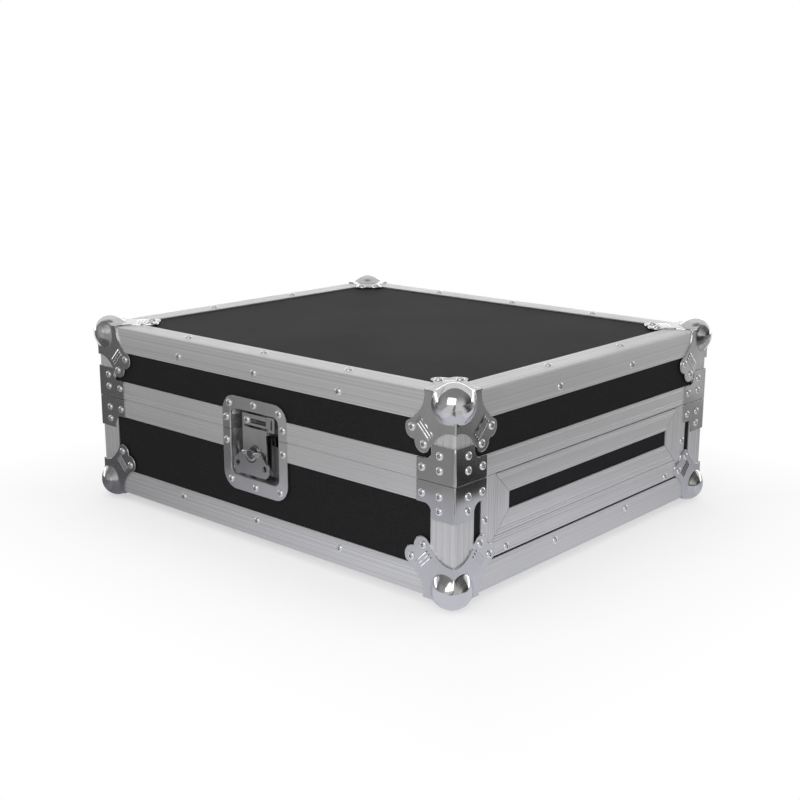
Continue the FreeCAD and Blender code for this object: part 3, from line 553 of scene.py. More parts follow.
@dataclass(frozen=True)
class DrawnMetal:
    """Extruded aluminium: lines along its length, with smudged gloss."""

    light: float = 0.79
    dark: float = 0.57
    lines: float = 1500.0
    gloss: tuple = (0.32, 0.42)
    bare: float = 0.68
    smudges: float = 9.0
    relief: tuple = (0.25, 0.05)

    def make(self, name: str, effects: Effects, run: Run) -> bpy.types.Material:
        """Make the material for bars that run one way.

        Args:
            name: the material's name.
            effects: the shared effects.
            run: the way the bars run.

        Returns:
            The material.
        """
        coat = Coat(name)
        lines = coat.effect(effects.lines, Across=run.value, Lines=self.lines)
        coat.set(Base_Color=coat.recipe.blend(lines.outputs["Streak"], grey(self.dark), grey(self.light)),
                 Metallic=self.bare, Roughness=coat.smudged(effects, self.smudges, self.gloss))
        coat.relief(lines.outputs["Height"], *self.relief)
        return coat.material


@dataclass(frozen=True)
class PlatedSteel:
    """Plated steel pressings: even metal with soft smudges, a faint rolled grain and, where hollow is below
    one, painted shade in the latch hollows.
    """

    light: float
    dark: float
    gloss: tuple
    grain: float = 0.06
    bare: float = 0.95
    # share of colour left at the bottom of the latch hollows, as painted shade; 1 paints none
    hollow: float = 1.0
    smudges: float = 16.0
    pebbles: float = 1400.0
    depth: float = 0.03

    def make(self, name: str, effects: Effects) -> bpy.types.Material:
        """Make the material.

        Args:
            name: the material's name.
            effects: the shared effects.

        Returns:
            The material.
        """
        coat = Coat(name)
        smudge = coat.effect(effects.smudges, Scale=self.smudges).outputs["Amount"]
        colour = coat.recipe.blend(smudge, grey(self.light), grey(self.dark))
        # painted shade: darken the colour with depth in the latch hollows
        if self.hollow < 1:
            shade = coat.effect(effects.recess, Least=self.hollow).outputs["Shade"]
            colour = coat.recipe.scaled(colour, shade)
        coat.set(Base_Color=colour, Metallic=self.bare,
                 Roughness=coat.recipe.span(smudge, 0.0, 1.0, *self.gloss))
        coat.relief(coat.effect(effects.grain, Scale=self.pebbles).outputs["Height"], self.grain, self.depth)
        return coat.material


@dataclass(frozen=True)
class Laminate:
    """Black laminate on plywood: a fine pebbled face with a dull sheen."""

    light: tuple = (0.0225, 0.0225, 0.0235)
    dark: tuple = (0.010, 0.010, 0.011)
    gloss: tuple = (0.53, 0.57)
    sheen: float = 0.05
    smudges: float = 6.0
    pebbles: float = 900.0
    tops: tuple = (-0.15, 0.55)
    relief: tuple = (0.3, 0.1)

    def make(self, name: str, effects: Effects) -> bpy.types.Material:
        """Make the material.

        Args:
            name: the material's name.
            effects: the shared effects.

        Returns:
            The material.
        """
        coat = Coat(name)
        pebble = coat.effect(effects.grain, Scale=self.pebbles).outputs["Height"]
        colour = coat.recipe.blend(coat.recipe.span(pebble, *self.tops), self.dark, self.light)
        coat.set(Base_Color=colour, Metallic=0.0, Specular_IOR_Level=self.sheen,
                 Roughness=coat.smudged(effects, self.smudges, self.gloss))
        coat.relief(pebble, *self.relief)
        return coat.material


@dataclass(frozen=True)
class CellFoam:
    """Charcoal open-cell foam: pits of two sizes."""

    light: tuple = (0.040, 0.040, 0.043)
    dark: tuple = (0.012, 0.012, 0.013)
    rough: float = 0.95
    sheen: float = 0.1
    cells: float = 420.0
    tops: tuple = (-0.1, 0.5)
    relief: tuple = (0.9, 0.8)

    def make(self, name: str, effects: Effects) -> bpy.types.Material:
        """Make the material.

        Args:
            name: the material's name.
            effects: the shared effects.

        Returns:
            The material.
        """
        coat = Coat(name)
        cells = coat.effect(effects.grain, Scale=self.cells).outputs["Height"]
        colour = coat.recipe.blend(coat.recipe.span(cells, *self.tops), self.dark, self.light)
        coat.set(Base_Color=colour, Roughness=self.rough, Specular_IOR_Level=self.sheen)
        coat.relief(cells, *self.relief)
        return coat.material


@dataclass(frozen=True)
class MouldedRubber:
    """Black rubber with a dusty, uneven sheen."""

    light: tuple = (0.030, 0.030, 0.031)
    dark: tuple = (0.012, 0.012, 0.012)
    gloss: tuple = (0.55, 0.8)
    smudges: float = 40.0
    pebbles: float = 1100.0
    relief: tuple = (0.3, 0.1)

    def make(self, name: str, effects: Effects) -> bpy.types.Material:
        """Make the material.

        Args:
            name: the material's name.
            effects: the shared effects.

        Returns:
            The material.
        """
        coat = Coat(name)
        smudge = coat.effect(effects.smudges, Scale=self.smudges).outputs["Amount"]
        coat.set(Base_Color=coat.recipe.blend(smudge, self.dark, self.light),
                 Roughness=coat.recipe.span(smudge, 0.0, 1.0, *self.gloss))
        coat.relief(coat.effect(effects.grain, Scale=self.pebbles).outputs["Height"], *self.relief)
        return coat.material


class Finishes:
    """Every finish of the case, made once."""

    def __init__(self) -> None:
        """Make the materials."""
        effects = Effects()
        drawn, fine, plain = DrawnMetal(), DrawnMetal(0.72, 0.62), DrawnMetal(0.70, 0.63)
        self.bar, self.rim = {}, {}
        for run in Run:
            bar = fine if run is Run.ALONG_X else drawn
            self.bar[run] = bar.make(f"drawn_aluminium_{run.name.lower()}", effects, run)
            self.rim[run] = plain.make(f"rim_aluminium_{run.name.lower()}", effects, run)
        self.laminate = Laminate().make("black_laminate", effects)
        self.ball = PlatedSteel(0.82, 0.76, (0.05, 0.10), 0.0).make("polished_ball", effects)
        self.leg = PlatedSteel(0.74, 0.64, (0.10, 0.18), bare=0.98).make("corner_leg_steel", effects)
        self.brace = PlatedSteel(0.64, 0.56, (0.07, 0.13), bare=0.99).make("brace_steel", effects)
        # the latch dish and works carry painted shade in their hollows
        self.latch = PlatedSteel(0.72, 0.64, (0.16, 0.26), bare=0.9, hollow=0.42).make("latch_steel", effects)
        self.works = PlatedSteel(0.72, 0.62, (0.12, 0.22), bare=0.94, hollow=0.3).make(
            "latch_works_steel", effects)
        self.spindle = PlatedSteel(0.34, 0.24, (0.08, 0.16), 0.02).make("spindle_steel", effects)
        self.handle = PlatedSteel(0.72, 0.62, (0.14, 0.24)).make("handle_steel", effects)
        self.rivet = PlatedSteel(0.90, 0.84, (0.12, 0.22), 0.02, 0.85).make("rivet_aluminium", effects)
        # A near-black finish for painted shadow: the ring in each rivet's hole and the strip at the
        # crescent's foot.
        self.bore = PlatedSteel(0.16, 0.05, (0.35, 0.5)).make("rivet_mandrel", effects)
        self.foam = CellFoam().make("charcoal_foam", effects)
        self.rubber = MouldedRubber().make("grip_rubber", effects)


# A bar stops this far short of a slanted cut, so that the seam shows.
SEAM = 0.28


def sweep(section: Array, start: Array, along: Array, across: tuple[Array, Array], length: float,
          ends: Ends = Ends.SQUARE) -> Shell:
    """Carry a closed section along a straight bar with slanted ends.

    A point (u, v) of the section sits at start + u * across[0] + v * across[1]. With the slopes of the two
    cuts, the first end lies at first . (u, v) along the bar and the last at length + last . (u, v), so a
    cut of (1, 0) is a mitre. Slanted ends stop a seam's width short.

    Args:
        section: closed outline, shape (n, 2).
        start: the section's origin at the bar's first end.
        along: direction of the bar.
        across: directions of u and v.
        length: length of the bar at the section's origin.
        ends: how the two ends are cut.

    Returns:
        A closed shell.
    """
    flat = np.asarray(start, float) + section[:, :1] * across[0] + section[:, 1:] * across[1]
    first_cut, last_cut = np.array(ends.value, float)
    first_place = SEAM * first_cut.any() + section @ first_cut
    last_place = length - SEAM * last_cut.any() + section @ last_cut
    first, last = flat + first_place[:, None] * along, flat + last_place[:, None] * along
    shell = Shell().grid(np.stack([first, last]), close_columns=True)
    return shell.outline(first).outline(last)


def v_grooves(side: Array, places: tuple, width: float = 0.6, depth: float = 0.24) -> Array:
    """Give the corners of shallow V grooves along a side of a section.

    Args:
        side: first corner, last corner and inward normal of the side, shape (3, 2).
        places: distances of the grooves from the first corner.
        width: half the width of a groove.
        depth: depth of a groove.

    Returns:
        Three corners for each groove, shape (3 * grooves, 2).
    """
    first, last, inward = side
    way = unit(last - first)
    offsets = np.asarray(places, float)[:, None] + np.array([-width, 0, width])
    sink = np.broadcast_to(np.array([0, depth, 0.0]), offsets.shape)
    return (first + offsets[..., None] * way + sink[..., None] * inward).reshape(-1, 2)


@dataclass(frozen=True)
class Extrusions:
    """Sections of the aluminium bars, as outlines in u and v from their outer corner.

    The tongue and the slot each have a near side, a far side and a height. The lines are the distances
    of the drawn grooves from the outer corner. The last four sizes are radii.
    """

    leg: float = 30.0
    band: float = 22.0
    wall: float = 1.5
    core: float = 12.0
    lip: float = 22.0
    heel: float = 15.0
    tongue: tuple = (4.0, 8.0, 6.0)
    slot: tuple = (3.5, 8.5, 7.0)
    flat_lines: tuple = (6.5, 13.0, 19.5, 25.5)
    side_lines: tuple = (26.5,)
    post_lines: tuple = (5.0, 9.0, 13.0, 17.0, 21.0, 25.0)
    band_lines: tuple = (3.2, 6.4)
    broad_line: tuple = (0.8, 0.32)
    crease: float = 0.12
    nose: float = 2.0
    leg_end: float = 0.4
    band_end: float = 0.25

    def edge(self, flat: tuple, side: tuple) -> Array:
        """Give the double-angle section: two lined legs, a core and two lips that hold the boards.

        Args:
            flat: distances of the lines from the corner on the leg along u.
            side: distances of the lines from the corner on the leg along v.

        Returns:
            The rounded outline, shape (n, 2).
        """
        leg, wall, core, lip = self.leg, self.wall, self.core, self.lip
        rest = core - wall
        from_end = tuple(leg - place for place in reversed(side))
        flat_leg = v_grooves(np.array([[0, 0], [leg, 0], [0, 1.0]]), flat, *self.broad_line)
        side_leg = v_grooves(np.array([[0, leg], [0, 0], [1.0, 0]]), from_end)
        inner = np.array([[leg, 0], [leg, wall], [core, wall], [core, rest], [lip, rest], [lip, core],
                          [core, core], [core, lip], [rest, lip], [rest, core], [wall, core], [wall, leg],
                          [0, leg]])
        corners = np.vstack([[[0, 0]], flat_leg, inner, side_leg])
        radii = np.full(len(corners), self.crease)
        radii[0] = self.nose
        radii[[1 + len(flat_leg), len(flat_leg) + len(inner)]] = self.leg_end
        return rounded(corners, radii)

    def tongued(self, band: float) -> Array:
        """Give the channel with a tongue: v is 0 at its face and falls to -band at the end of its leg.

        Args:
            band: width of the band that shows.

        Returns:
            The rounded outline, shape (n, 2).
        """
        wall, core, heel = self.wall, self.core, self.heel
        near, far, rise = self.tongue
        lines = (*self.band_lines, band - self.band_lines[0])
        face = v_grooves(np.array([[0, 0], [0, -band], [1.0, 0]]), lines)
        inner = np.array([[0, -band], [wall, -band], [wall, -wall], [core - wall, -wall],
                          [core - wall, -heel], [core, -heel], [core, 0], [far, 0], [far, rise],
                          [near, rise], [near, 0]])
        corners = np.vstack([[[0, 0]], face, inner])
        radii = np.full(len(corners), self.crease)
        radii[[0, 1 + len(face)]] = self.band_end
        return rounded(corners, radii)

    def slotted(self, leg: float) -> Array:
        """Give the channel with a slot: v is 0 at its face and rises to the end of its leg.

        Args:
            leg: length of the leg that shows.

        Returns:
            The rounded outline, shape (n, 2).
        """
        wall, core, heel = self.wall, self.core, self.heel
        near, far, depth = self.slot
        first, second = self.band_lines
        face = v_grooves(np.array([[0, leg], [0, 0], [1.0, 0]]),
                         (first, self.band - second, self.band - first))
        inner = np.array([[0, 0], [near, 0], [near, depth], [far, depth], [far, 0], [core, 0], [core, heel],
                          [core - wall, heel], [core - wall, depth + wall], [wall, depth + wall],
                          [wall, leg], [0, leg]])
        corners = np.vstack([inner, face])
        radii = np.full(len(corners), self.crease)
        radii[[0, len(inner) - 1]] = self.band_end
        return rounded(corners, radii)


STOCK = Extrusions()


@dataclass(frozen=True)
class EdgeFrame:
    """The double-angle extrusions round each half, and its corner posts."""

    finishes: Finishes

    def build(self) -> None:
        """Make the edges of both halves and their posts."""
        section = STOCK.edge(STOCK.flat_lines, STOCK.side_lines)
        for half, level, up in ((Half.BASE, CASE.floor, AXES[2]), (Half.LID, CASE.top, -AXES[2])):
            for name, sign in (("front", -1), ("back", 1)):
                start = [-CASE.half[0], sign * CASE.half[1], level]
                bar = sweep(section, start, AXES[0], (-sign * AXES[1], up), CASE.width, Ends.MITRED)
                self._mount(bar, half, name, Run.ALONG_X)
            for name, sign in (("left", -1), ("right", 1)):
                start = [sign * CASE.half[0], -CASE.half[1], level]
                bar = sweep(section, start, AXES[1], (-sign * AXES[0], up), CASE.depth, Ends.MITRED)
                self._mount(bar, half, name, Run.ALONG_Y)
        section = STOCK.edge(STOCK.post_lines, STOCK.post_lines)
        self._posts(section, Half.BASE, CASE.floor + STOCK.leg, CASE.parting - STOCK.band)
        self._posts(section, Half.LID, CASE.lid_rim + STOCK.band, CASE.top - STOCK.leg)

    def _mount(self, bar: Shell, half: Half, name: str, run: Run) -> None:
        """Dress one edge and mount it in place of its solid."""
        piece = bar.build(f"drawn_{half.value}_edge_{name}", self.finishes.bar[run])
        mount(piece, half.value, "extrusion", f"{half.value}_edge_{name}")

    def _posts(self, section: Array, half: Half, foot: float, head: float) -> None:
        """Make the four posts of one half.

        Args:
            section: the posts' outline.
            half: the half they belong to.
            foot: height of their lower ends.
            head: height of their upper ends.
        """
        posts = [sweep(section, [x * CASE.half[0], y * CASE.half[1], foot], AXES[2],
                       (-x * AXES[0], -y * AXES[1]), head - foot) for x in (-1, 1) for y in (-1, 1)]
        piece = joined(*posts).build(f"drawn_{half.value}_posts", self.finishes.bar[Run.ALONG_Z])
        mount(piece, half.value, "extrusion", f"{half.value}_corner_posts")


@dataclass(frozen=True)
class RimFrame:
    """The tongued rim of the base and the slotted rim of the lid, broken at the latches."""

    finishes: Finishes
    latch_room: float = 41.0
    opening: float = 199.0
    lift: float = 0.22

    def build(self) -> None:
        """Make every rim extrusion."""
        tongue, slot = STOCK.tongued(STOCK.band), STOCK.slotted(STOCK.band)
        rim = CASE.parting + self.lift
        for name, sign in (("left", -1), ("right", 1)):
            self._mount(self._side(tongue, rim, sign), Half.BASE, f"base_rim_{name}", Run.ALONG_Y)
        sides = joined(self._side(slot, CASE.lid_rim, -1), self._side(slot, CASE.lid_rim, 1))
        self._mount(sides, Half.LID, "lid_rim_sides", Run.ALONG_Y)
        self._mount(self._end(tongue, rim, 1), Half.BASE, "base_rim_back", Run.ALONG_X)
        ends = joined(self._end(slot, CASE.lid_rim, -1), self._end(slot, CASE.lid_rim, 1))
        self._mount(ends, Half.LID, "lid_rim_ends", Run.ALONG_X)
        stub = CASE.half[0] - self.opening
        corner = np.array([-CASE.half[0], -CASE.half[1], rim])
        across = (AXES[1], AXES[2])
        first = sweep(tongue, corner, AXES[0], across, stub, Ends.FIRST_MITRED)
        corner = corner + [CASE.width - stub, 0, 0]
        last = sweep(tongue, corner, AXES[0], across, stub, Ends.LAST_MITRED)
        self._mount(joined(first, last), Half.BASE, "base_rim_front", Run.ALONG_X)

    def _end(self, section: Array, level: float, sign: int) -> Shell:
        """Make a rim along X at the front (-1) or the back (1)."""
        start = [-CASE.half[0], sign * CASE.half[1], level]
        return sweep(section, start, AXES[0], (-sign * AXES[1], AXES[2]), CASE.width, Ends.MITRED)

    def _side(self, section: Array, level: float, sign: int) -> Shell:
        """Make the two lengths of rim along Y on one side.

        Args:
            section: the rim's outline.
            level: height of its face.
            sign: -1 on the left, 1 on the right.

        Returns:
            Both lengths.
        """
        length = CASE.half[1] - self.latch_room
        start = np.array([sign * CASE.half[0], -CASE.half[1], level])
        across = (-sign * AXES[0], AXES[2])
        first = sweep(section, start, AXES[1], across, length, Ends.FIRST_MITRED)
        start = start + [0, CASE.depth - length, 0]
        last = sweep(section, start, AXES[1], across, length, Ends.LAST_MITRED)
        return joined(first, last)

    def _mount(self, bar: Shell, half: Half, node: str, run: Run) -> None:
        """Dress a rim and mount it in place of its solid."""
        mount(bar.build(f"drawn_{node}", self.finishes.rim[run]), half.value, "extrusion", node)


@dataclass(frozen=True)
class CableOpening:
    """The trims round the cable opening and the mitred frame of the access panel.

    The frame's head and the leg of the trim under it are cut a little short, so that both seams show.
    """

    finishes: Finishes
    half_width: float = 177.0
    sill: float = 53.3
    play: float = 0.4
    head_play: float = 0.9
    trim: float = 20.9
    rail: float = 23.0

    def build(self) -> None:
        """Make the trims on the base and the frame on the panel."""
        front, sill = -CASE.half[1], CASE.floor + self.sill
        slot, tongue = STOCK.slotted(STOCK.band), STOCK.tongued(self.rail)
        tall = CASE.parting - sill
        sides = [sweep(slot, [sign * self.half_width, front, sill], AXES[2], (AXES[1], sign * AXES[0]), tall,
                       Ends.FOOT_FRAMED) for sign in (-1, 1)]
        self._mount(joined(*sides), "base", "opening_trim_sides", Run.ALONG_Z)
        bottom = sweep(STOCK.slotted(self.trim), [-self.half_width, front, sill], AXES[0],
                       (AXES[1], -AXES[2]), 2 * self.half_width, Ends.FRAMED)
        self._mount(bottom, "base", "opening_trim_bottom", Run.ALONG_X)

        half, foot, head = self.half_width - self.play, sill + self.play, CASE.parting - self.head_play
        rails = [sweep(tongue, [-half, front, level], AXES[0], (AXES[1], up), 2 * half, Ends.FRAMED)
                 for level, up in ((head, AXES[2]), (foot, -AXES[2]))]
        self._mount(joined(*rails), "access_panel", "access_panel_rails", Run.ALONG_X)
        stiles = [sweep(tongue, [sign * half, front, foot], AXES[2], (AXES[1], sign * AXES[0]), head - foot,
                        Ends.FRAMED) for sign in (-1, 1)]
        self._mount(joined(*stiles), "access_panel", "access_panel_stiles", Run.ALONG_Z)

    def _mount(self, bar: Shell, body: str, node: str, run: Run) -> None:
        """Dress a trim and mount it in place of its solid."""
        mount(bar.build(f"drawn_{node}", self.finishes.bar[run]), body, "extrusion", node)


@dataclass(frozen=True)
class BallCorners:
    """Pressed corners: a polished ball on three legs with two lobes and pressed ribs.

    A lobe and a scallop each have a far and a near distance from the edges, and a radius. A rib has its
    place, as the sum of both distances, and its rise. The shares of the rise are for the legs that face
    along X, Y and Z. The rim is the rounding of a leg's edge and the height of its side.
    """

    finishes: Finishes
    radius: float = 20.0
    inset: float = 10.0
    square: float = 50.4
    lobe: tuple = (51.3, 39.3, 10.6)
    scallop: tuple = (67.0, 2.0, 29.5)
    bend: tuple = (13.0, 38.0)
    bend_proud: float = 0.04
    heel: float = 0.4
    ribs: tuple = ((79.3, 0.95), (74.3, 0.9), (69.2, 0.95))
    rib_width: float = 1.6
    rib_half: float = 12.4
    rib_fade: float = 4.0
    rib_shares: tuple = (1.0, 1.0, 0.25)
    neck: float = 6.5
    root: float = 11.0
    reach: float = 62.0
    last_ray: float = 11.5
    rim: tuple = (0.45, 1.15)
    bend_sink: float = 0.05

    def build(self) -> None:
        """Make the four corners of each half."""
        kinds = (("balls", self._ball(), self.finishes.ball, 60),
                 ("legs", self._legs(), self.finishes.leg, 50))
        for half, level, up in ((Half.BASE, CASE.floor, 1), (Half.LID, CASE.top, -1)):
            signs = np.array([(x, y, up) for x in (-1, 1) for y in (-1, 1)], float)
            places = np.column_stack([signs[:, :2] * CASE.half, np.full(4, level)])
            turns = np.einsum("ki,ij->kij", signs * [-1, -1, 1], AXES)
            for name, part, finish, sharp in kinds:
                whole = Shell().copies(part, turns, places)
                piece = whole.build(f"pressed_{half.value}_{name}", finish, sharp=sharp)
                mount(piece, half.value, "plated_steel", f"{half.value}_ball_corners")

    def _ball(self) -> Shell:
        """Give the cap of the ball that stands out of the faces.

        Polar angles run from the corner's diagonal down to where the ball last dips under a leg, found on a
        fine scale for each turn about the diagonal. The cap closes on the ball's centre.

        Returns:
            The ball of one corner, with the case's corner at the origin.
        """
        pole = -unit(np.ones(3))
        side = unit(np.array([1.0, -1.0, 0.0]))
        turn = circle(72)
        around = np.cos(turn)[:, None] * side + np.sin(turn)[:, None] * np.cross(pole, side)
        fall = np.linspace(0.0, np.pi, 721)[:, None, None]
        ray = self.inset + self.radius * (np.cos(fall) * pole + np.sin(fall) * around)
        out = ray.min(-1) < -CASE.plate / 2
        limit = fall.ravel()[len(fall) - 1 - np.argmax(out[::-1], axis=0)]
        fall = (np.linspace(0.0, 1.0, 33)[:, None] * limit)[..., None]
        cap = self.inset + self.radius * (np.cos(fall) * pole + np.sin(fall) * around)
        centre = np.broadcast_to(np.full(3, self.inset), cap[:1].shape)
        return Shell().grid(np.concatenate([cap, centre]), close_columns=True)

    def _inside(self, p: Array, q: Array) -> Array:
        """Give how far a point of a face lies inside a leg's outline: square and lobes less the scallops.

        Args:
            p: distances from one edge of the case.
            q: distances from the other edge.

        Returns:
            Distances, above zero inside, of p's shape.
        """
        far, near, radius = self.lobe
        body = np.minimum(self.square - p, self.square - q)
        body = np.maximum(body, radius - np.hypot(p - far, q - near))
        body = np.maximum(body, radius - np.hypot(p - near, q - far))
        far, near, radius = self.scallop
        body = np.minimum(body, np.hypot(p - far, q - near) - radius)
        body = np.minimum(body, np.hypot(p - near, q - far) - radius)
        return np.minimum(body, np.minimum(p, q))

    def _relief(self, p: Array, q: Array, share: float) -> Array:
        """Give the height of a leg's face.

        The plate carries ribs, each a bell across p + q, and flows into the ball: where plate and ball differ
        by less than the neck's size, the higher is raised by (neck - difference)^2 / (4 neck).

        Args:
            p: distances from one edge of the case.
            q: distances from the other edge.
            share: how much of the ribs' full rise this leg has.

        Returns:
            Heights over the case's face, of p's shape.
        """
        height = np.full(p.shape, CASE.plate)
        aside = np.abs(p - q) / math.sqrt(2)
        ends = 1 - smooth_step(self.rib_half - self.rib_fade, self.rib_half, aside)
        for place, rise in self.ribs:
            height = height + share * rise * ends * np.exp(-((p + q - place) / self.rib_width) ** 2)
        off = (p - self.inset) ** 2 + (q - self.inset) ** 2
        return self._flow(height, np.sqrt(np.maximum(self.radius ** 2 - off, 0)) - self.inset)

    def _flow(self, plate: Array, ball: Array) -> Array:
        """Join the heights of plate and ball with a neck."""
        near = np.maximum(self.neck - np.abs(plate - ball), 0)
        return np.maximum(plate, ball) + near ** 2 / (4 * self.neck)

    def _fans(self) -> list[Array]:
        """Give the three legs as grids, each a fan of rays from under the ball to its outline.

        The rays and their points lie closest where the ribs are. A ray's length is where the outline's
        distance first falls below zero. The rows run out over the relief, round the rim and back beneath.

        Returns:
            One grid for each face axis, with the points' distances from both edges and their height.
        """
        spread = np.linspace(-1, 1, 109)
        swing = math.pi / 4 + math.asin(self.inset / self.last_ray)
        angle = math.pi / 4 + (0.4 * spread + 0.6 * spread ** 3) * swing
        way = np.stack([np.cos(angle), np.sin(angle)])
        trial = np.linspace(self.root, self.reach, 1701)[:, None, None]
        spot = self.inset + trial * way
        outside = self._inside(spot[:, 0], spot[:, 1]) < -1e-9
        limit = trial.ravel()[np.argmax(outside, axis=0)]
        end_p, end_q = self.inset + limit * way
        at_edge, shortest = 0.1, 0.6
        bent = np.minimum(end_p, end_q) < at_edge
        root = np.minimum(self.root, limit - shortest)
        along = np.interp(np.linspace(0, 1, 65), (0, 0.25, 0.75, 1), (0, 0.48, 0.72, 1))
        rounding, side = self.rim
        ray = root + along[:, None] * (limit - np.where(bent, 0.0, rounding) - root)
        p, q = self.inset + ray * way[0], self.inset + ray * way[1]
        rim = np.where(bent, self._relief(p[-1], q[-1], 1.0) - self.bend_sink, side)
        rows = [(end_p, end_q, -rim), (end_p, end_q, 0 * rim), (p[0], q[0], 0 * rim)]
        under = np.stack([np.stack(row, -1) for row in rows])
        faces = [np.stack([p, q, -self._relief(p, q, share)], -1) for share in self.rib_shares]
        return [np.concatenate([face, under]) for face in faces]

    def _fold(self) -> Array:
        """Give the bend between two legs: a quarter pipe of the plate's thickness that swells into the ball.

        Returns:
            A grid along the edge, with the distances from both faces and the place along the edge.
        """
        run = np.linspace(*self.bend, 41)[:, None]
        arc = np.linspace(-0.04, np.pi / 2 + 0.04, 9)
        lean = self.inset * (np.cos(arc) + np.sin(arc))
        room = lean ** 2 + self.radius ** 2 - 2 * self.inset ** 2 - (run - self.inset) ** 2
        swell = self._flow(np.full(room.shape, CASE.plate), np.sqrt(np.maximum(room, 0)) - lean)
        swell = swell + self.bend_proud
        pipe = np.stack([-swell * np.cos(arc), -swell * np.sin(arc), np.broadcast_to(run, swell.shape)], -1)
        heel = np.stack([np.full(len(run), self.heel), np.full(len(run), self.heel), run[:, 0]], -1)
        return np.concatenate([pipe, heel[:, None]], axis=1)

    def _legs(self) -> Shell:
        """Give the three legs and the bends between them.

        Returns:
            The legs of one corner, with the case's corner at the origin.
        """
        shell = Shell()
        fold = self._fold()
        for face_axis, fan in enumerate(self._fans()):
            order = np.argsort([(face_axis + 1) % 3, (face_axis + 2) % 3, face_axis])
            leg, bend = fan[..., order], fold[..., order]
            shell.grid(leg, close_rows=True).outline(leg[:, 0]).outline(leg[:, -1])
            shell.grid(bend, close_columns=True).outline(bend[0]).outline(bend[-1])
        return shell


@dataclass(frozen=True)
class Rivets:
    """Blind rivet heads: low domes with a mandrel hole, where the solids have theirs. A near-black ring in
    each hole is painted shadow.

    The profiles of head and bore are pairs of radius and height. Seats on the latches are given along the
    side and above the parting, and those in the pans also out of the face. Seats on the handle are given
    from its middle, and those on corners, braces and trims from the edges of the case.
    """

    finishes: Finishes
    head: tuple = ((0, 0), (4.4, 0), (4.3, 0.7), (3.5, 1.45), (2.3, 1.86), (1.7, 1.7), (1.6, 0.6),
                   (0.75, 0.6), (0.7, 1.3), (0, 1.45))
    # The bore is a near-black ring in the head's hole: painted shadow.
    bore: tuple = ((0.8, 0.62), (1.55, 0.62), (1.5, 0.95), (0.85, 0.95))
    edge_x: tuple = (-70.0, 70.0)
    edge_y: tuple = (-127.5, 0.0, 127.5)
    edge_side: float = 20.0
    edge_flat: float = 16.0
    corner: tuple = ((53.0, 38.0), (38.0, 53.0))
    brace: tuple = ((18.0, 12.8), (40.0, 12.8), (18.0, 27.5))
    catch: tuple = ((-40.0, 30.0), (0.0, 33.0), (40.0, 30.0), (-45.5, 13.0), (45.5, 13.0))
    latch: tuple = ((-45.5, -13.5), (45.5, -13.5), (-40.0, -58.0), (0.0, -61.0), (40.0, -58.0))
    handle: tuple = ((-59.0, -22.0), (59.0, -22.0), (-59.0, 22.0), (59.0, 22.0), (0.0, 27.0), (0.0, -27.0))
    trim_side: tuple = (47.0, 74.5)
    trim_sill: tuple = (83.0, 37.5)
    handle_up: float = 63.5
    handle_skin: float = 1.2
    rim_skin: float = 1.3
    pan_lid: tuple = ((-33.0, 12.5, -12.8), (16.5, 13.5, -3.5))
    pan_base: tuple = ((-30.5, -33.0, -12.8),)

    def build(self) -> None:
        """Make the heads of both halves."""
        # The second kind is a near-black ring in each head's hole, painted shadow.
        kinds = (("rivets", self._turned(self.head), self.finishes.rivet),
                 ("rivet_bores", self._turned(self.bore), self.finishes.bore))
        base = self._half(CASE.floor, 1, CASE.parting, self.latch) + self._base_only()
        base = base + self._in_pans(self.pan_base)
        lid = self._half(CASE.top, -1, CASE.lid_rim, self.catch) + self._in_pans(self.pan_lid)
        for half, seats in ((Half.BASE, base), (Half.LID, lid)):
            places = np.array([place for place, _ in seats])
            facing = np.array([way for _, way in seats])
            side = np.roll(facing, 1, axis=1)
            turns = np.stack([side, np.cross(facing, side), facing], -1)
            for name, part, finish in kinds:
                whole = Shell().copies(part, turns, places)
                piece = whole.build(f"set_{half.value}_{name}", finish, sharp=60)
                mount(piece, half.value, "rivet", f"{half.value}_rivets")

    @staticmethod
    def _turned(profile: tuple) -> Shell:
        """Give a turned shape.

        Args:
            profile: pairs of radius and height, carried round Z.

        Returns:
            The shape, standing on the origin.
        """
        radius, height = np.array(profile).T[..., None, None]
        turn = circle(12)
        ring = np.stack([np.cos(turn), np.sin(turn), np.zeros_like(turn)], -1)
        hollow = profile[0][0] > 0
        return Shell().grid(radius * ring + height * AXES[2], close_rows=hollow, close_columns=True)

    def _half(self, level: float, inward: int, band: float, dish: tuple) -> list[tuple[list, Array]]:
        """List the heads of one half on edges, corners, braces and latches.

        Args:
            level: height of the half's flat face.
            inward: the sign of Z from that face into the half.
            band: height of the half's rim.
            dish: seats on the latch dishes.

        Returns:
            The place and facing of each head.
        """
        wide, deep = CASE.half
        up = -inward * AXES[2]
        beside = level + inward * self.edge_side
        seats = []
        for sign in (-1, 1):
            seats += [([x, sign * deep, beside], sign * AXES[1]) for x in self.edge_x]
            seats += [([x, sign * (deep - self.edge_flat), level], up) for x in self.edge_x]
            seats += [([sign * wide, y, beside], sign * AXES[0]) for y in self.edge_y]
            seats += [([sign * (wide - self.edge_flat), y, level], up) for y in self.edge_y]
            seats += [([sign * (wide + self.rim_skin), along, CASE.parting + above], sign * AXES[0])
                      for along, above in dish]
        plate = CASE.plate
        for x, y in ((-1, -1), (-1, 1), (1, -1), (1, 1)):
            for far, near in self.corner:
                seats.append(([x * (wide - far), y * (deep - near), level - inward * plate], up))
                seats.append(([x * (wide - far), y * (deep + plate), level + inward * near], y * AXES[1]))
                seats.append(([x * (wide + plate), y * (deep - far), level + inward * near], x * AXES[0]))
            for far, drop in self.brace:
                seats.append(([x * (wide + plate), y * (deep - far), band - inward * drop], x * AXES[0]))
                seats.append(([x * (wide - far), y * (deep + plate), band - inward * drop], y * AXES[1]))
        return seats

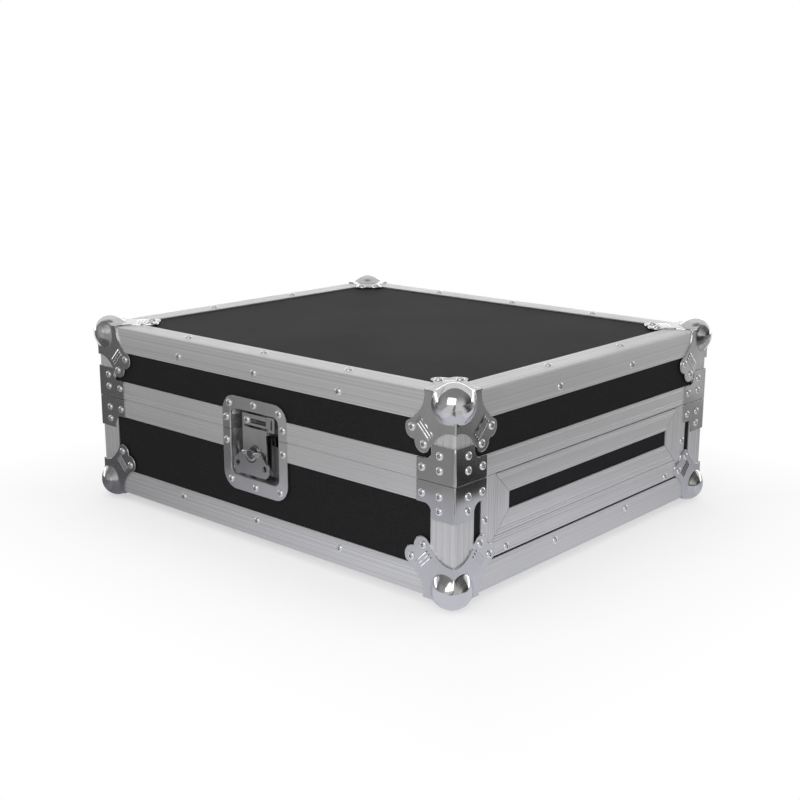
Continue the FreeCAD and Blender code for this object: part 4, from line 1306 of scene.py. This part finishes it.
    @staticmethod
    def _in_pans(spots: tuple) -> list[tuple[list, Array]]:
        """List the heads inside both latches, each with its place and facing."""
        return [([side.value * (CASE.half[0] + out), along, CASE.parting + above], side.value * AXES[0])
                for side in Side for along, above, out in spots]

    def _base_only(self) -> list[tuple[list, Array]]:
        """List the heads on the opening's trims and the handle's dish.

        Returns:
            The place and facing of each head.
        """
        wide, deep = CASE.half
        trims = [([sign * (wide - far), -deep, CASE.floor + up], -AXES[1])
                 for far, up in (self.trim_side, self.trim_sill) for sign in (-1, 1)]
        middle = CASE.floor + self.handle_up
        dish = [([along, deep + self.handle_skin, middle + above], AXES[1]) for along, above in self.handle]
        return trims + dish


@dataclass(frozen=True)
class LatchRims:
    """The rolled rims of the latch dishes, parted with the case.

    The points of the rolled section are given by how far they lie outside the dish's outline or its
    mouth's, the corner radius there and their height out of the case.
    """

    finishes: Finishes
    half_width: float = 51.7
    drop: float = 68.0
    rise: float = 39.0
    mouth_half: float = 38.8
    mouth_drop: float = 51.3
    mouth_rise: float = 24.8
    outer: tuple = ((0.0, 20.0, 0.0), (0.1, 20.0, 0.5), (-0.2, 19.7, 1.15), (-0.8, 19.2, 1.35))
    inner: tuple = ((2.6, 10.5, 1.35), (1.5, 9.6, 1.8), (0.4, 8.8, 1.75), (-0.2, 8.2, 0.9), (-0.3, 8.0, -1.5),
                    (1.5, 9.4, -1.5), (1.5, 9.6, 0.0))

    def build(self) -> None:
        """Make the lower and upper rim of each latch."""
        for side in Side:
            name = side.name.lower()
            lower = self._rim(side, self.drop, self.mouth_drop, -1, CASE.parting)
            piece = lower.build(f"rolled_{name}_latch_rim", self.finishes.latch, sharp=40)
            mount(piece, "base", "hardware_steel")
            upper = self._rim(side, self.rise, self.mouth_rise, 1, CASE.lid_rim)
            piece = upper.build(f"rolled_{name}_catch_rim", self.finishes.latch, sharp=40)
            mount(piece, "lid", "hardware_steel")

    def _rim(self, side: Side, reach: float, mouth: float, way: int, level: float) -> Shell:
        """Give one half of a rim as a section carried round half a rounded rectangle.

        A row of points runs down one side, round two quarter circles and up the other side.

        Args:
            side: the latch's side.
            reach: how far the dish reaches from the parting.
            mouth: how far its mouth reaches.
            way: the sign of Z away from the parting.
            level: height of the parted edge.

        Returns:
            A closed shell.
        """
        rows = [(self.half_width + grow, reach + grow, radius, out) for grow, radius, out in self.outer]
        rows += [(self.mouth_half + grow, mouth + grow, radius, out) for grow, radius, out in self.inner]
        wide, deep, radius, out = np.array(rows).T[..., None]
        quarter = np.linspace(0, np.pi / 2, 13)
        bend_y = wide - radius + radius * np.cos(quarter)
        bend_z = deep - radius + radius * np.sin(quarter)
        flat = np.zeros_like(deep)
        y = np.concatenate([wide, bend_y, -bend_y[:, ::-1], -wide], axis=1)
        z = np.concatenate([flat, bend_z, bend_z[:, ::-1], flat], axis=1)
        x = np.broadcast_to(side.value * (CASE.half[0] + out), y.shape)
        shape = np.stack([x, y, level + way * z], -1)
        return Shell().grid(shape, close_rows=True).outline(shape[:, 0]).outline(shape[:, -1])


@dataclass(frozen=True)
class LatchTrims:
    """The turned collar round each latch's spindle, the crescent pressed into its wing and a near-black strip
    of painted shadow at the crescent's foot.

    The collar's profile is pairs of radius and height. The crescent and the painted shadow at its foot each
    have the radius of their arc, half their width and their rise.
    """

    finishes: Finishes
    along: float = 3.0
    above: float = -21.0
    collar: tuple = ((5.2, -1.2), (8.4, -1.2), (8.5, -0.5), (8.2, 0.1), (7.6, 0.45), (6.9, 0.5), (5.2, 0.35))
    crescent: tuple = (7.3, 1.5, 0.75)
    shade: tuple = (9.6, 0.95, 0.1)
    arc: tuple = (205, 335)
    wing_face: float = 4.3
    root: float = 0.3

    def build(self) -> None:
        """Make the trims of both latches."""
        for side in Side:
            name = side.name.lower()
            collar = self._collar(side).build(f"turned_{name}_collar", self.finishes.spindle, sharp=60)
            mount(collar, f"{name}_spindle", "hardware_steel")
            bead = self._bead(side, self.crescent)
            crescent = bead.build(f"pressed_{name}_crescent", self.finishes.works, sharp=60)
            mount(crescent, f"{name}_wing", "hardware_steel")
            # A near-black strip along the crescent's foot: painted shadow.
            bead = self._bead(side, self.shade)
            shade = bead.build(f"pressed_{name}_crescent_foot", self.finishes.bore, sharp=60)
            mount(shade, f"{name}_wing", "hardware_steel")

    def _at(self, side: Side, out: Array, along: Array, above: Array) -> Array:
        """Place points by their distances out of the side's face and from the spindle's axis."""
        x = side.value * (CASE.half[0] + out)
        return np.stack(np.broadcast_arrays(x, self.along + along, CASE.parting + self.above + above), -1)

    def _collar(self, side: Side) -> Shell:
        """Give the collar: its profile carried round the spindle.

        Args:
            side: the latch's side.

        Returns:
            A closed shell.
        """
        radius, out = np.array(self.collar).T[..., None]
        turn = circle(48)
        shape = self._at(side, out, radius * np.cos(turn), radius * np.sin(turn))
        return Shell().grid(shape, close_rows=True, close_columns=True)

    def _bead(self, side: Side, sizes: tuple) -> Shell:
        """Give a low half-round bead that swells and dies out along an arc under the spindle.

        Args:
            side: the latch's side.
            sizes: radius of the arc, half the bead's width and its rise.

        Returns:
            A closed shell.
        """
        radius, half, rise = sizes
        turn = np.radians(np.linspace(*self.arc, 41))[:, None]
        swell = np.sqrt(np.sin(np.pi * np.linspace(0.01, 0.99, 41)))[:, None]
        bead = np.linspace(0, np.pi, 9)
        ring = radius + half * swell * np.cos(bead)
        out = self.wing_face + rise * swell * np.sin(bead)
        shape = self._at(side, out, ring * np.cos(turn), ring * np.sin(turn))
        sunk = np.full(1, self.wing_face - self.root)
        foot = self._at(side, sunk, radius * np.cos(turn), radius * np.sin(turn))
        shape = np.concatenate([shape, foot], axis=1)
        return Shell().grid(shape, close_columns=True).outline(shape[0]).outline(shape[-1])


@dataclass(frozen=True)
class FoamPads:
    """The foam in the base and the lid, cut blocks with softened edges.

    The wall pads stand between a back and a face, both measured from the case's outside. Behind a latch
    and behind the handle the back is deeper, over half a width that is given with it. A pad's edges are
    rounded by the soft radius, or by a share of its thinnest half where that is less.
    """

    finishes: Finishes
    soft: float = 5.0
    soft_share: float = 0.45
    corner_share: float = 1.2
    corner_fall: float = 0.6
    foot: float = 22.3
    head: float = 15.3
    back: float = 10.5
    face: float = 30.5
    side_end: float = 22.3
    rear_end: float = 30.8
    latch: tuple = (14.3, 40.6)
    handle: tuple = (16.3, 56.6)

    def build(self) -> None:
        """Make the wall, floor and lid foam in place of their solids."""
        lows, highs = np.array(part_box("base_floor_foam")) / MM
        self._mount([(lows, highs)], "base_floor_foam", "base")
        lows, highs = np.array(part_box("lid_foam_pad")) / MM
        self._mount([(lows, highs)], "lid_foam_pad", "lid")
        self._mount(self._walls(), "base_wall_foam", "base")

    def _row(self, end: float, recess: tuple) -> list[tuple[float, float, float]]:
        """Part a wall into three pads, each with its back's depth and where it starts and stops."""
        depth, half = recess
        return [(self.back, -end, -half), (depth, -half, half), (self.back, half, end)]

    def _walls(self) -> list[tuple[Array, Array]]:
        """Give the wall pads: three on each side, three at the rear.

        Returns:
            The low and the high corner of each pad.
        """
        foot, head = CASE.floor + self.foot, CASE.parting - self.head
        wide, deep = CASE.half
        pads = []
        for sign in (-1, 1):
            for back, start, stop in self._row(deep - self.side_end, self.latch):
                low, high = sorted((sign * (wide - back), sign * (wide - self.face)))
                pads.append((np.array([low, start, foot]), np.array([high, stop, head])))
        for back, start, stop in self._row(wide - self.rear_end, self.handle):
            pads.append((np.array([start, deep - self.face, foot]), np.array([stop, deep - back, head])))
        return pads

    def _mount(self, pads: list[tuple[Array, Array]], node: str, body: str) -> None:
        """Dress a set of pads and mount it in place of its solid.

        Args:
            pads: the low and the high corner of each pad.
            node: the solid's name.
            body: the body it moves with.
        """
        blocks = joined(*[self._pad(low, high) for low, high in pads])
        piece = blocks.build(f"cut_{node}", self.finishes.foam, sharp=70)
        mount(piece, body, "foam", node)

    def _pad(self, low: Array, high: Array) -> Shell:
        """Give one pad: rounded rectangles stacked in Z, drawn in over a quarter circle at both ends.

        Args:
            low: the pad's low corner.
            high: its high corner.

        Returns:
            A closed shell.
        """
        middle, half = (low + high) / 2, (high - low) / 2
        soft = min(self.soft, self.soft_share * half.min())
        bend = np.linspace(0, np.pi / 2, 5)
        inset = np.concatenate([soft * (1 - np.sin(bend)), soft * (1 - np.cos(bend))])
        level = np.concatenate([soft * (1 - np.cos(bend)) - half[2], half[2] - soft * (1 - np.sin(bend))])
        radii = soft * self.corner_share - self.corner_fall * inset
        loops = rounded_loops(half[0] - inset, half[1] - inset, radii, steps=5)
        heights = np.broadcast_to(level[:, None, None], (*loops.shape[:2], 1))
        body = np.concatenate([loops, heights], -1) + middle
        return Shell().grid(body, close_columns=True).outline(body[0]).outline(body[-1])


@dataclass(frozen=True)
class HandleGrip:
    """The ribbed rubber sleeve on the drop handle's bail."""

    finishes: Finishes
    half: float = 31.0
    radius: float = 6.5
    bore: float = 4.0
    ribs: int = 9
    rib_depth: float = 0.7
    end_round: float = 1.6
    end_least: float = 0.05

    def build(self) -> None:
        """Make the sleeve: a profile along X, a cosine wave with rounded ends, turned about the bail."""
        low, high = np.array(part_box("handle_grip")) / MM
        middle = (low + high) / 2
        x = np.linspace(-self.half, self.half, 109)
        wave = 0.5 - 0.5 * np.cos(2 * np.pi * self.ribs * (x / self.half + 1) / 2)
        past = np.clip((np.abs(x) - self.half + self.end_round) / self.end_round, 0, 1)
        ends = np.maximum(np.sqrt(np.clip(1 - past ** 2, 0, 1)), self.end_least)
        radius = self.bore + (self.radius - self.bore - self.rib_depth * (1 - wave)) * ends
        turn = circle(32)
        ring = np.cos(turn)[:, None] * AXES[1] + np.sin(turn)[:, None] * AXES[2]
        outer = x[:, None, None] * AXES[0] + radius[:, None, None] * ring
        inner = x[[-1, 0], None, None] * AXES[0] + self.bore * ring
        shell = Shell().grid(np.concatenate([outer, inner]) + middle, close_rows=True, close_columns=True)
        piece = shell.build("ribbed_handle_grip", self.finishes.rubber, sharp=60)
        mount(piece, "handle", "grip_rubber", "handle_grip")


@dataclass(frozen=True)
class KeptSolids:
    """The solids that stay on show, each with its finish and with broken edges."""

    finishes: Finishes
    edge: float = 0.3
    fine_edge: float = 0.12
    crease: float = 38.0

    def dress(self) -> None:
        """Give every board, brace and latch solid its material."""
        for name, solid in frame["nodes"].items():
            if solid.hide_render:
                continue
            finish = self._finish(name)
            solid.data.materials.clear()
            solid.data.materials.append(finish)
            if "_board" not in name:
                fine = name.endswith(("_wing", "_spindle", "_pin"))
                self._soften(solid, self.fine_edge if fine else self.edge)
            LOG.info("%s keeps its solid, in %s", name, finish.name)

    def _soften(self, solid: bpy.types.Object, width: float) -> None:
        """Break the sharp edges of a solid with a narrow bevel.

        Args:
            solid: the solid's object.
            width: width of the bevel.
        """
        weld = solid.modifiers.new("weld", "WELD")
        weld.merge_threshold = 1e-6
        bevel = solid.modifiers.new("broken_edges", "BEVEL")
        bevel.width = width * MM
        bevel.segments = 2
        bevel.limit_method = "ANGLE"
        bevel.angle_limit = math.radians(self.crease)
        bevel.harden_normals = True

    def _finish(self, name: str) -> bpy.types.Material:
        """Choose the material of a solid.

        Args:
            name: the solid's name.

        Returns:
            The material.
        """
        if name.endswith("_board"):
            return self.finishes.laminate
        if "braces" in name:
            return self.finishes.brace
        if name.startswith("handle"):
            return self.finishes.handle
        if name.endswith("_spindle"):
            return self.finishes.spindle
        # dishes and works get the finishes with painted shade in their hollows
        return self.finishes.latch if name.endswith("_dish") else self.finishes.works


@dataclass(frozen=True)
class RoomLight:
    """The room as metal sees it, by direction.

    It is dim to the right, fuller to the left, light ahead on both sides of a narrow dark stand, and
    bright behind. Directions are cosines. A span of four numbers has a start, an end and the values there.
    """

    behind: tuple = (0.7259, 0.6445, -0.2404)
    left: tuple = (-0.6639, 0.7478, 0.0)
    sides: tuple = (-0.3, 0.4, 0.035, 0.30)
    fade: tuple = (-0.35, 0.1, 1.0, 0.4)
    stand: tuple = (0.05, 0.09, 0.0, 1.0)
    ahead: float = 0.56
    overhead: tuple = (0.15, 0.75, 0.0, 1.0)
    ceiling: float = 0.2
    lean: float = 0.25
    edge: float = 0.08
    backdrop: tuple = (0.06, 0.19, 2.6, 0.7)

    def seen(self, recipe: Recipe, way: Socket, start: float, ahead: tuple) -> Socket:
        """Give the room's light in a direction.

        Args:
            recipe: the tree to add to.
            way: the direction looked in.
            start: how far behind the case the bright backdrop starts.
            ahead: where the light part ahead is full and where it ends.

        Returns:
            The light's strength.
        """
        aside, depth = recipe.along(way, self.left), recipe.along(way, self.behind)
        height = recipe.along(way, (0, 0, 1))
        dim = recipe.value("MULTIPLY", recipe.span(aside, *self.sides), recipe.span(depth, *self.fade))
        stand = recipe.span(recipe.value("ABSOLUTE", aside), *self.stand)
        light = recipe.value("MULTIPLY", recipe.span(depth, *ahead, self.ahead, 0.0), stand)
        ceiling = recipe.span(height, *self.overhead)
        front = recipe.mix(ceiling, recipe.value("MAXIMUM", dim, light), self.ceiling)
        leaning = recipe.value("MULTIPLY_ADD", ceiling, self.lean, depth)
        bright = recipe.span(leaning, start, start + self.edge)
        return recipe.mix(bright, front, recipe.span(height, *self.backdrop))


@dataclass(frozen=True)
class TableLight:
    """The floor as metal sees it: a table with a cool pool of light, then the room's floor.

    The table ends at a distance from the case, further on the latch sides, and its near corner is cut
    off. The room's floor is lighter at the far right. Spans are as in RoomLight.
    """

    room: RoomLight
    table: tuple = (0.205, 0.222, 1.0, 0.0)
    wider: float = 0.06
    corner: float = 0.32
    toward: tuple = (-0.748, -0.664, 0.0)
    pool: tuple = (0.25, 0.72, 0.63, 0.10)
    pool_place: tuple = (-0.3, -0.4, 0.0)
    pool_stretch: tuple = (0.65, 1.0, 1.0)
    cool: tuple = (0.96, 0.965, 1.06)
    far_right: tuple = ((0.09, 0.45, 0.0, 0.33), (0.5, 0.76, 0.0, 0.52))
    right_ahead: tuple = (-1.0, -0.62, 0.3, 1.0)
    start: float = 0.36
    ahead: tuple = (-0.82, -0.66)
    most: float = 0.85

    def seen(self, recipe: Recipe, place: Socket, reach: list[Socket]) -> Socket:
        """Give the floor's light at a place.

        Args:
            recipe: the tree to add to.
            place: the place on the floor.
            reach: its distances from the case's sides and ends, below zero between them.

        Returns:
            The light's colour.
        """
        off_table = recipe.value("MAXIMUM", recipe.value("SUBTRACT", reach[0], self.wider), reach[1])
        cut_off = recipe.value("SUBTRACT", recipe.along(place, self.toward), self.corner)
        on_table = recipe.span(recipe.value("MAXIMUM", off_table, cut_off), *self.table)
        offset = recipe.vector("SUBTRACT", place, self.pool_place)
        offset = recipe.vector("MULTIPLY", offset, self.pool_stretch)
        spread = recipe.add("ShaderNodeVectorMath", {0: offset}, operation="LENGTH").outputs["Value"]
        level = recipe.mix(on_table, self._beyond(recipe, place), recipe.span(spread, *self.pool))
        return recipe.scaled(recipe.blend(on_table, (1, 1, 1), self.cool), level)

    def _beyond(self, recipe: Recipe, place: Socket) -> Socket:
        """Give the light of the room's floor past the table.

        Args:
            recipe: the tree to add to.
            place: the place on the floor.

        Returns:
            The light's strength.
        """
        steps = [recipe.span(recipe.along(place, (1, 0, 0)), *step) for step in self.far_right]
        across = recipe.span(recipe.along(place, (0, 1, 0)), *self.right_ahead)
        right = recipe.value("MULTIPLY", recipe.value("MAXIMUM", *steps), across)
        room = self.room.seen(recipe, recipe.vector("NORMALIZE", place), self.start, self.ahead)
        return recipe.value("MAXIMUM", recipe.value("MINIMUM", room, self.most), right)


@dataclass(frozen=True)
class Studio:
    """A pale floor, soft light and the camera of the photograph.

    Metal is lit as on a white table in a dim room: a bright backdrop behind, the table close round the
    case, and less light past the table's edge, least of all in front of the access panel.
    """

    eye: tuple = (-1.110123, -0.984109, 0.491305)
    azimuth: float = -48.391
    elevation: float = 13.91
    roll: float = 0.104
    focal_pixels: float = 1241.073
    picture_pixels: float = 800.0
    sensor: float = 36.0
    clip: float = 0.05
    key_place: tuple = (-1.65, -0.85, 0.86)
    key_target: tuple = (-0.2, -0.25, 0.2)
    key_size: tuple = (1.45, 1.15)
    key_power: float = 7.6
    floor_pale: float = 0.95
    floor_rough: float = 0.9
    floor_rings: tuple = (0.0, 0.3, 0.6, 1.0, 2.0, 5.0, 14.0)
    floor_white: tuple = (0.0, 0.24, 0.5, 1.0)
    world_start: float = 0.22
    world_ahead: tuple = (-0.75, -0.4)
    soft: float = 0.88

    def build(self) -> None:
        """Make the camera, the floor, the lamp and the world."""
        bpy.context.scene.view_settings.view_transform = "Standard"
        room = RoomLight()
        self._camera()
        self._floor(TableLight(room))
        self._lamp()
        self._world(room)

    def _camera(self) -> None:
        """Set the camera at the photograph's place and angle."""
        data = bpy.data.cameras.new("photo_camera")
        data.sensor_width = self.sensor
        data.lens = self.focal_pixels / self.picture_pixels * self.sensor
        data.clip_start = self.clip
        camera = bpy.data.objects.new("photo_camera", data)
        azimuth, elevation = math.radians(self.azimuth), math.radians(self.elevation)
        back = Vector((math.sin(azimuth) * math.cos(elevation), -math.cos(azimuth) * math.cos(elevation),
                       math.sin(elevation)))
        turn = (-back).to_track_quat("-Z", "Y").to_matrix().to_4x4()
        turn = turn @ Matrix.Rotation(math.radians(self.roll), 4, "Z")
        camera.matrix_world = Matrix.Translation(self.eye) @ turn
        bpy.context.scene.collection.objects.link(camera)
        bpy.context.scene.camera = camera

    def _floor(self, light: TableLight) -> None:
        """Lay a pale floor: shaded near the case, plain white further off, and a lit table to metal.

        Args:
            light: the floor as metal sees it.
        """
        coat = Coat("pale_floor")
        recipe = coat.recipe
        pale = (*grey(self.floor_pale), 1)
        coat.set(Base_Color=pale, Roughness=self.floor_rough, Specular_IOR_Level=0.0)
        split = recipe.add("ShaderNodeSeparateXYZ", {0: coat.place})
        reach = [recipe.value("SUBTRACT", recipe.value("ABSOLUTE", split.outputs[axis]), half * MM)
                 for axis, half in zip("XY", CASE.half)]
        path = recipe.add("ShaderNodeLightPath")
        white = recipe.add("ShaderNodeEmission", {"Color": (1, 1, 1, 1), "Strength": 1.0})
        plain = recipe.span(recipe.value("MAXIMUM", *reach), *self.floor_white)
        plain = recipe.value("MULTIPLY", plain, path.outputs["Is Camera Ray"])
        seen = recipe.add("ShaderNodeMixShader", {0: plain, 1: coat.shader.outputs[0], 2: white.outputs[0]})
        colour = light.seen(recipe, coat.place, reach)
        table = recipe.add("ShaderNodeEmission", {"Color": colour, "Strength": 1.0})
        mirrored = recipe.value("MAXIMUM", path.outputs["Is Glossy Ray"], path.outputs["Is Transmission Ray"])
        mix = recipe.add("ShaderNodeMixShader", {0: mirrored, 1: seen.outputs[0], 2: table.outputs[0]})
        recipe.add("ShaderNodeOutputMaterial", {"Surface": mix.outputs[0]}).is_active_output = True

        radius = np.array(self.floor_rings)[:, None, None] / MM
        turn = circle(48)
        ring = np.stack([np.cos(turn), np.sin(turn), np.zeros_like(turn)], -1)
        floor = Shell().grid(radius * ring, close_columns=True).build("floor", coat.material)

    def _lamp(self) -> None:
        """Hang the key light, a rectangular softbox that faces its target."""
        data = bpy.data.lights.new("key_softbox", "AREA")
        data.shape = "RECTANGLE"
        data.size, data.size_y = self.key_size
        data.energy = self.key_power
        lamp = bpy.data.objects.new("key_softbox", data)
        lamp.location = self.key_place
        aim = Vector(self.key_target) - Vector(self.key_place)
        lamp.rotation_euler = aim.to_track_quat("-Z", "Y").to_euler()
        bpy.context.scene.collection.objects.link(lamp)

    def _world(self, room: RoomLight) -> None:
        """Make the world: white to the camera, soft to matt surfaces, the room to metal.

        Args:
            room: the room as metal sees it.
        """
        world = bpy.data.worlds.new("studio_room")
        world.use_nodes = True
        world.node_tree.nodes.clear()
        recipe = Recipe(world.node_tree)
        way = recipe.add("ShaderNodeTexCoord").outputs["Generated"]
        path = recipe.add("ShaderNodeLightPath")
        level = room.seen(recipe, way, self.world_start, self.world_ahead)
        level = recipe.mix(path.outputs["Is Diffuse Ray"], level, self.soft)
        level = recipe.mix(path.outputs["Is Camera Ray"], level, 1.0)
        light = recipe.add("ShaderNodeBackground", {"Color": (1, 1, 1, 1), "Strength": level})
        recipe.add("ShaderNodeOutputWorld", {"Surface": light.outputs[0]})
        bpy.context.scene.world = world


def main() -> None:
    """Build the case's pieces in order, then the studio."""
    logging.basicConfig(level=logging.INFO, format="%(name)s: %(message)s")
    finishes = Finishes()
    EdgeFrame(finishes).build()
    RimFrame(finishes).build()
    CableOpening(finishes).build()
    BallCorners(finishes).build()
    Rivets(finishes).build()
    LatchRims(finishes).build()
    LatchTrims(finishes).build()
    FoamPads(finishes).build()
    HandleGrip(finishes).build()
    KeptSolids(finishes).dress()
    Studio().build()


if __name__ == "__main__":
    main()
